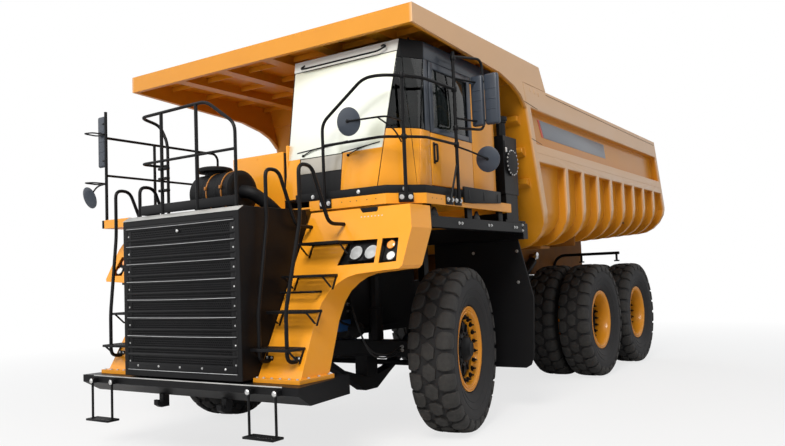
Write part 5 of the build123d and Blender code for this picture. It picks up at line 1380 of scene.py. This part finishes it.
# %% Cabinet, side box and oil tank
COVER_Y, COVER_Z = 1100, 3150
make("cabinet", [
    block(-430, 355, -1250, -500, 2556, 3232, edge=9, segments=3),
    bolts([(x, -1251, z) for x in (-400, -40, 320) for z in (2620, 2900, 3190)], FRONT_WAY, 0.5)],
     yellow, "equipment_boxes")
make("side_box", [
    # The black plate on the cabinet's +X side is painted shade: that side of the cabinet lies in shadow.
    block(355, 369, -1240, -510, 2570, 3222, edge=4),
    plate([(-340, 2560), (-340, 2735), (560, 2735), (560, 2600), (-150, 2560)], "x", 2121, 2150, edge=6),
    *(block(2148, 2153, y - 12, y + 12, 2600, 2700, edge=2) for y in (-240, 120, 470))], trim_black)
dress("oil_tank", "oil_tank_body", black, 12, segments=3)
make("oil_tank_cover", [
    turned([(0, 150), (5, 150), (7, 120), (12, 60), (13, 0)], (2075, COVER_Y, COVER_Z), LEFT_WAY, 40),
    turned([(-10, 66), (10, 70), (16, 82), (60, 84), (66, 78), (66, 0)], (1960, 1050, 3672), steps=28),
    block(1880, 2060, 920, 980, 3240, 3420, edge=12)], dark_steel, slot="black_paint")
ring = [(2076, COVER_Y + 152 * math.cos(a), COVER_Z + 152 * math.sin(a))
        for a in (math.tau * i / 18 for i in range(18))]
make("oil_tank_bolts", [bolts(ring, LEFT_WAY, 0.8), block(2060, 2072, 930, 970, 3270, 3330, edge=3)],
     bolt_steel)

# %% Air cleaner
X, Y, Z = -150, -1690, 2770
drum_line = [(-310, 0), (-310, 150), (-300, 215), (-285, 226), (-120, 228), (-114, 234), (-100, 234),
             (-94, 228), (100, 228), (108, 234), (122, 234), (130, 228), (285, 226), (296, 232), (306, 215),
             (310, 170), (302, 150), (302, 0)]
cap_line = [(0, 0), (0, 90), (4, 186), (14, 198), (40, 200), (54, 186), (64, 150), (72, 90), (76, 0)]
shapes = [turned(drum_line, (X, Y, Z), LEFT_WAY),
          turned([(0, 110), (120, 110), (126, 118), (140, 118)], (X - 120, Y, Z + 130), steps=32),
          turned(cap_line, (X - 120, Y, Z + 240))]
for k in range(12):
    spot = Matrix.Translation((X - 120, Y, Z + 286)) @ Matrix.Rotation(math.tau * k / 12, 4, "Z")
    shapes.append(placed(spot, block(84, 184, -5, 5, -4, 6, edge=2)))
shapes += [block(X + d - 40, X + d + 40, Y - 150, Y + 150, 2521, Z - 150, edge=5) for d in (-180, 180)]
shapes.append(tube([(X + 300, Y, Z), (X + 430, Y + 10, Z - 20), (X + 520, Y + 180, Z - 160),
                    (X + 520, Y + 300, Z - 240)], 70, bend=150, sides=18))
make("air_cleaner_drum", shapes, trim_black, "air_cleaner")
shapes = []
for x in (X - 20, X + 205):
    shapes += [turned([(-6, 226), (-6, 236), (6, 236), (6, 226)], (x, Y, Z), LEFT_WAY, 40),
               block(x - 12, x + 12, Y - 252, Y - 228, Z + 24, Z + 62, edge=5)]
make("air_cleaner_clamps", shapes, clamp)

# %% [markdown]
# ## Under the deck
# What shows in the wheel arch is black and half hidden: the beam under the deck, the frame, the
# axle, the springs and a little of the blue engine. Those solids are dressed in place. Hoses
# and a brake chamber are added, because bare plates alone look like a toy's. The three-stage
# hoists that push the bed up are bright ground rod in black barrels.

# %% Dressed parts of the underbody
DRESSED = {
    "deck_frame": ("deck_beams", "chassis", black, "black_paint", 8),
    "front_mudguards": ("mud_flaps", "chassis", trim_black, "rubber", 5),
    "frame": ("main_frame", "chassis", dark_steel, "black_paint", 8),
    "front_axle": ("front_axle_beam", "chassis", dark_steel, "cast", 14),
    "rear_axles": ("rear_axle_housings", "chassis", dark_steel, "cast", 14),
    "leaf_springs": ("leaf_packs", "chassis", dark_steel, "steel", 5),
    "knuckle_left": ("knuckle_casting_left", "steering_left", dark_steel, "cast", 8),
    "knuckle_right": ("knuckle_casting_right", "steering_right", dark_steel, "cast", 8),
    "tie_rod": ("tie_rod_bar", "steering_tie_rod", dark_steel, "steel", 6),
    "engine": ("engine_block", "chassis", engine_blue, "blue_paint", 16),
    "tanks": ("tank_shells", "chassis", black, "black_paint", 14),
}
for node, (name, body, material, slot, edge) in DRESSED.items():
    dress(node, name, material, edge, body=body, slot=slot, sharp=35)

# %% Beam flanges, bolts and gussets in the wheel arch
bolt_sets, gussets = [], []
for side in (1, -1):
    way = (side, 0, 0)
    bolt_sets += [bolts([(side * 2061, y + d, 2340) for d in (-34, 34)], way, 1.1)
                  for y in (-1010, -300, 420, 1130)]
    bolt_sets.append(bolts([(side * x, 1417, z) for x in (1300, 1930) for z in (1650, 2050)], FRONT_WAY, 1.3))
    bolt_sets += [bolts([(side * 2061, y, 2305), (side * 2061, y, 2375)], way, 1.2) for y in (-980, 1340)]
    gussets += [block(side * 1930, side * 2066, y - 9, y + 9, 2262, 2412, edge=4) for y in (-1012, 1345)]
    corner_plate = plate([(1525, 2488), (1743, 2488), (1716, 2330), (1640, 2318)], "y", -1432, -1420, edge=4)
    gussets.append(placed(Matrix.Scale(side, 4, (1, 0, 0)), corner_plate))
    for y in (-760, 200):
        foot = plate([(y - 90, 2400), (y + 90, 2400), (y + 20, 2500), (y - 20, 2500)], "x", -7, 7, edge=2)
        gussets.append(placed(Matrix.Translation((side * 2000, 0, 0)), foot))
make("arch_bolts", bolt_sets, bolt_steel)
make("arch_gussets", gussets, black)

# %% Engine fittings
shapes = []
for y in range(-1080, 0, 250):
    shapes += [block(415, 450, y - 95, y + 95, 1900, 2060, edge=16),
               turned([(0, 0), (0, 40), (50, 36), (60, 0)], (415, y, 1700), LEFT_WAY, 20),
               block(-450, -415, y - 95, y + 95, 1900, 2060, edge=16)]
shapes.append(tube([(440, -1050, 1560), (470, -1050, 1480), (470, 300, 1480), (440, 300, 1560)], 30, bend=60))
make("engine_fittings", shapes, engine_blue)

# %% [markdown]
# A brake hose is free between its two ends, so it hangs in a low curve. Each hose leaves the
# frame's side, hangs before the axle and rises to a union on the axle beam's front face. The
# steered wheel never reaches it there. Its line is one smooth spline.

# %% Brake hoses
HOSE_RADIUS = 0.011
HOSE_ROUTES = {
    "upper": [(560, -420, 1480), (640, -440, 1474), (720, -520, 1380), (820, -540, 1150), (880, -500, 980),
              (960, -420, 900), (1040, -300, 890), (1090, -190, 930), (1100, -130, 958), (1100, -95, 960)],
    "lower": [(560, -420, 1400), (640, -430, 1394), (730, -500, 1300), (830, -510, 1080), (900, -460, 900),
              (980, -370, 850), (1050, -260, 860), (1088, -170, 902), (1100, -120, 918), (1100, -95, 920)],
}
unions = []


def hose(name, route):
    """A free hose along one spline, whose control points are millimetres in the truck's frame."""
    curve = bpy.data.curves.new(name, "CURVE")
    curve.dimensions = "3D"
    curve.bevel_depth = HOSE_RADIUS
    curve.bevel_resolution = 3
    curve.resolution_u = 12
    spline = curve.splines.new("NURBS")
    spline.points.add(len(route) - 1)
    for point, spot in zip(spline.points, route):
        point.co = (*(TO_SCENE @ Vector(spot)), 1)
    spline.order_u = 3
    spline.use_endpoint_u = True
    curve.materials.append(hose_rubber)
    piece = link(name, curve)
    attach(piece, "chassis")
    tuple(TO_SCENE @ Vector(route[0]))


for word, side in SIDES.items():
    for level, places in HOSE_ROUTES.items():
        route = [(side * x, y, z) for x, y, z in places]
        hose(f"brake_hose_{level}_{word}", route)
        for end, way in ((route[0], (side, 0, 0)), (route[-1], FRONT_WAY)):
            union = turned([(0, 0), (0, 20), (12, 20), (14, 16), (34, 15), (36, 0)], steps=16)
            unions.append(placed(facing(end, way), union))
make("hose_unions", unions, bolt_steel)

# %% Pipes and brake chambers
pipes, chambers = [], []
chamber = [(0, 0), (0, 60), (12, 84), (60, 88), (72, 96), (84, 88), (130, 82), (142, 50), (142, 0)]
for side in (1, -1):
    pipes.append(tube([(side * 600, -700, 1750), (side * 640, -720, 1300), (side * 640, -300, 1180),
                       (side * 640, 500, 1200)], 14, bend=120, sides=8))
    chambers.append(turned(chamber, (side * 652, -330, 1180), (side * 0.1, -1, 0), 28))
make("shield_pipes", pipes, trim_black, slot="trim")
make("brake_chambers", chambers, dark_steel)

# %% Hoists
HOISTS = {
    "hoist_barrels": ("hoist_outer_tubes", "hoist_outer", black),
    "hoist_stages": ("hoist_middle_tubes", "hoist_middle", bright_rod),
    "hoist_rods": ("hoist_inner_rods", "hoist_inner", bright_rod),
}
for node, (name, body, material) in HOISTS.items():
    dress(node, name, material, 0, body=body, slot="steel", sharp=35)

# %% Bar of the rear mudguards, and splash shields
guard, shields = [], []
shield = [(-450, 1180), (-400, 1120), (930, 1120), (980, 1180), (980, 2230), (-450, 2230)]
for side in (1, -1):
    guard.append(tube([(side * 560, 5960, 1640), (side * 640, 5960, 1960), (side * 760, 5960, 2050),
                       (side * 1850, 5960, 2050)], 26, bend=90))
    for x in (side * 1150, side * 1800):
        guard += [tube([(x, 5960, 2045), (x, 5960, 1920)], 20),
                  block(x - 45, x + 45, 5940, 5980, 1900, 1925, edge=4)]
    shields += [plate(shield, "x", *sorted((side * 616, side * 628)), edge=3),
                bolts([(side * 628, y, z) for y in (-380, 260, 900) for z in (1200, 1700, 2150)],
                      (side, 0, 0), 0.5)]
make("rear_guard_bars", guard, black)
make("splash_shields", shields, trim_black, slot="trim")

# %% [markdown]
# ## The floor
# The floor is a large pale plane that catches the soft shadow. To the camera it adds a little
# of its own light, so that it meets the white backdrop without an edge.

# %% Floor
plane = bmesh.new()
bmesh.ops.create_grid(plane, x_segments=1, y_segments=1, size=60)
floor = link("floor", bpy.data.meshes.new("floor"))
plane.to_mesh(floor.data)
plane.free()
pale, tree = new_material("pale_floor")
tree.nodes.clear()
distance = add_node(tree, "VectorMath", {0: object_place(tree)}, operation="LENGTH").outputs["Value"]
fade = add_node(tree, "MapRange", {"Value": distance, "From Min": 5.0, "From Max": 15.0, "To Min": 0.74,
                                   "To Max": 1.0})
to_camera = add_node(tree, "LightPath").outputs["Is Camera Ray"]
own_light = add_node(tree, "Math", {0: to_camera, 1: fade}, operation="MULTIPLY")
matt = add_node(tree, "BsdfDiffuse", {"Color": (0.80, 0.80, 0.80, 1)})
glow = add_node(tree, "Emission", {"Color": WHITE})
surface = add_node(tree, "MixShader", {"Fac": own_light, 1: matt, 2: glow})
add_node(tree, "OutputMaterial", {"Surface": surface})
floor.data.materials.append(pale)
print("floor", [round(side, 1) for side in floor.dimensions], "m")
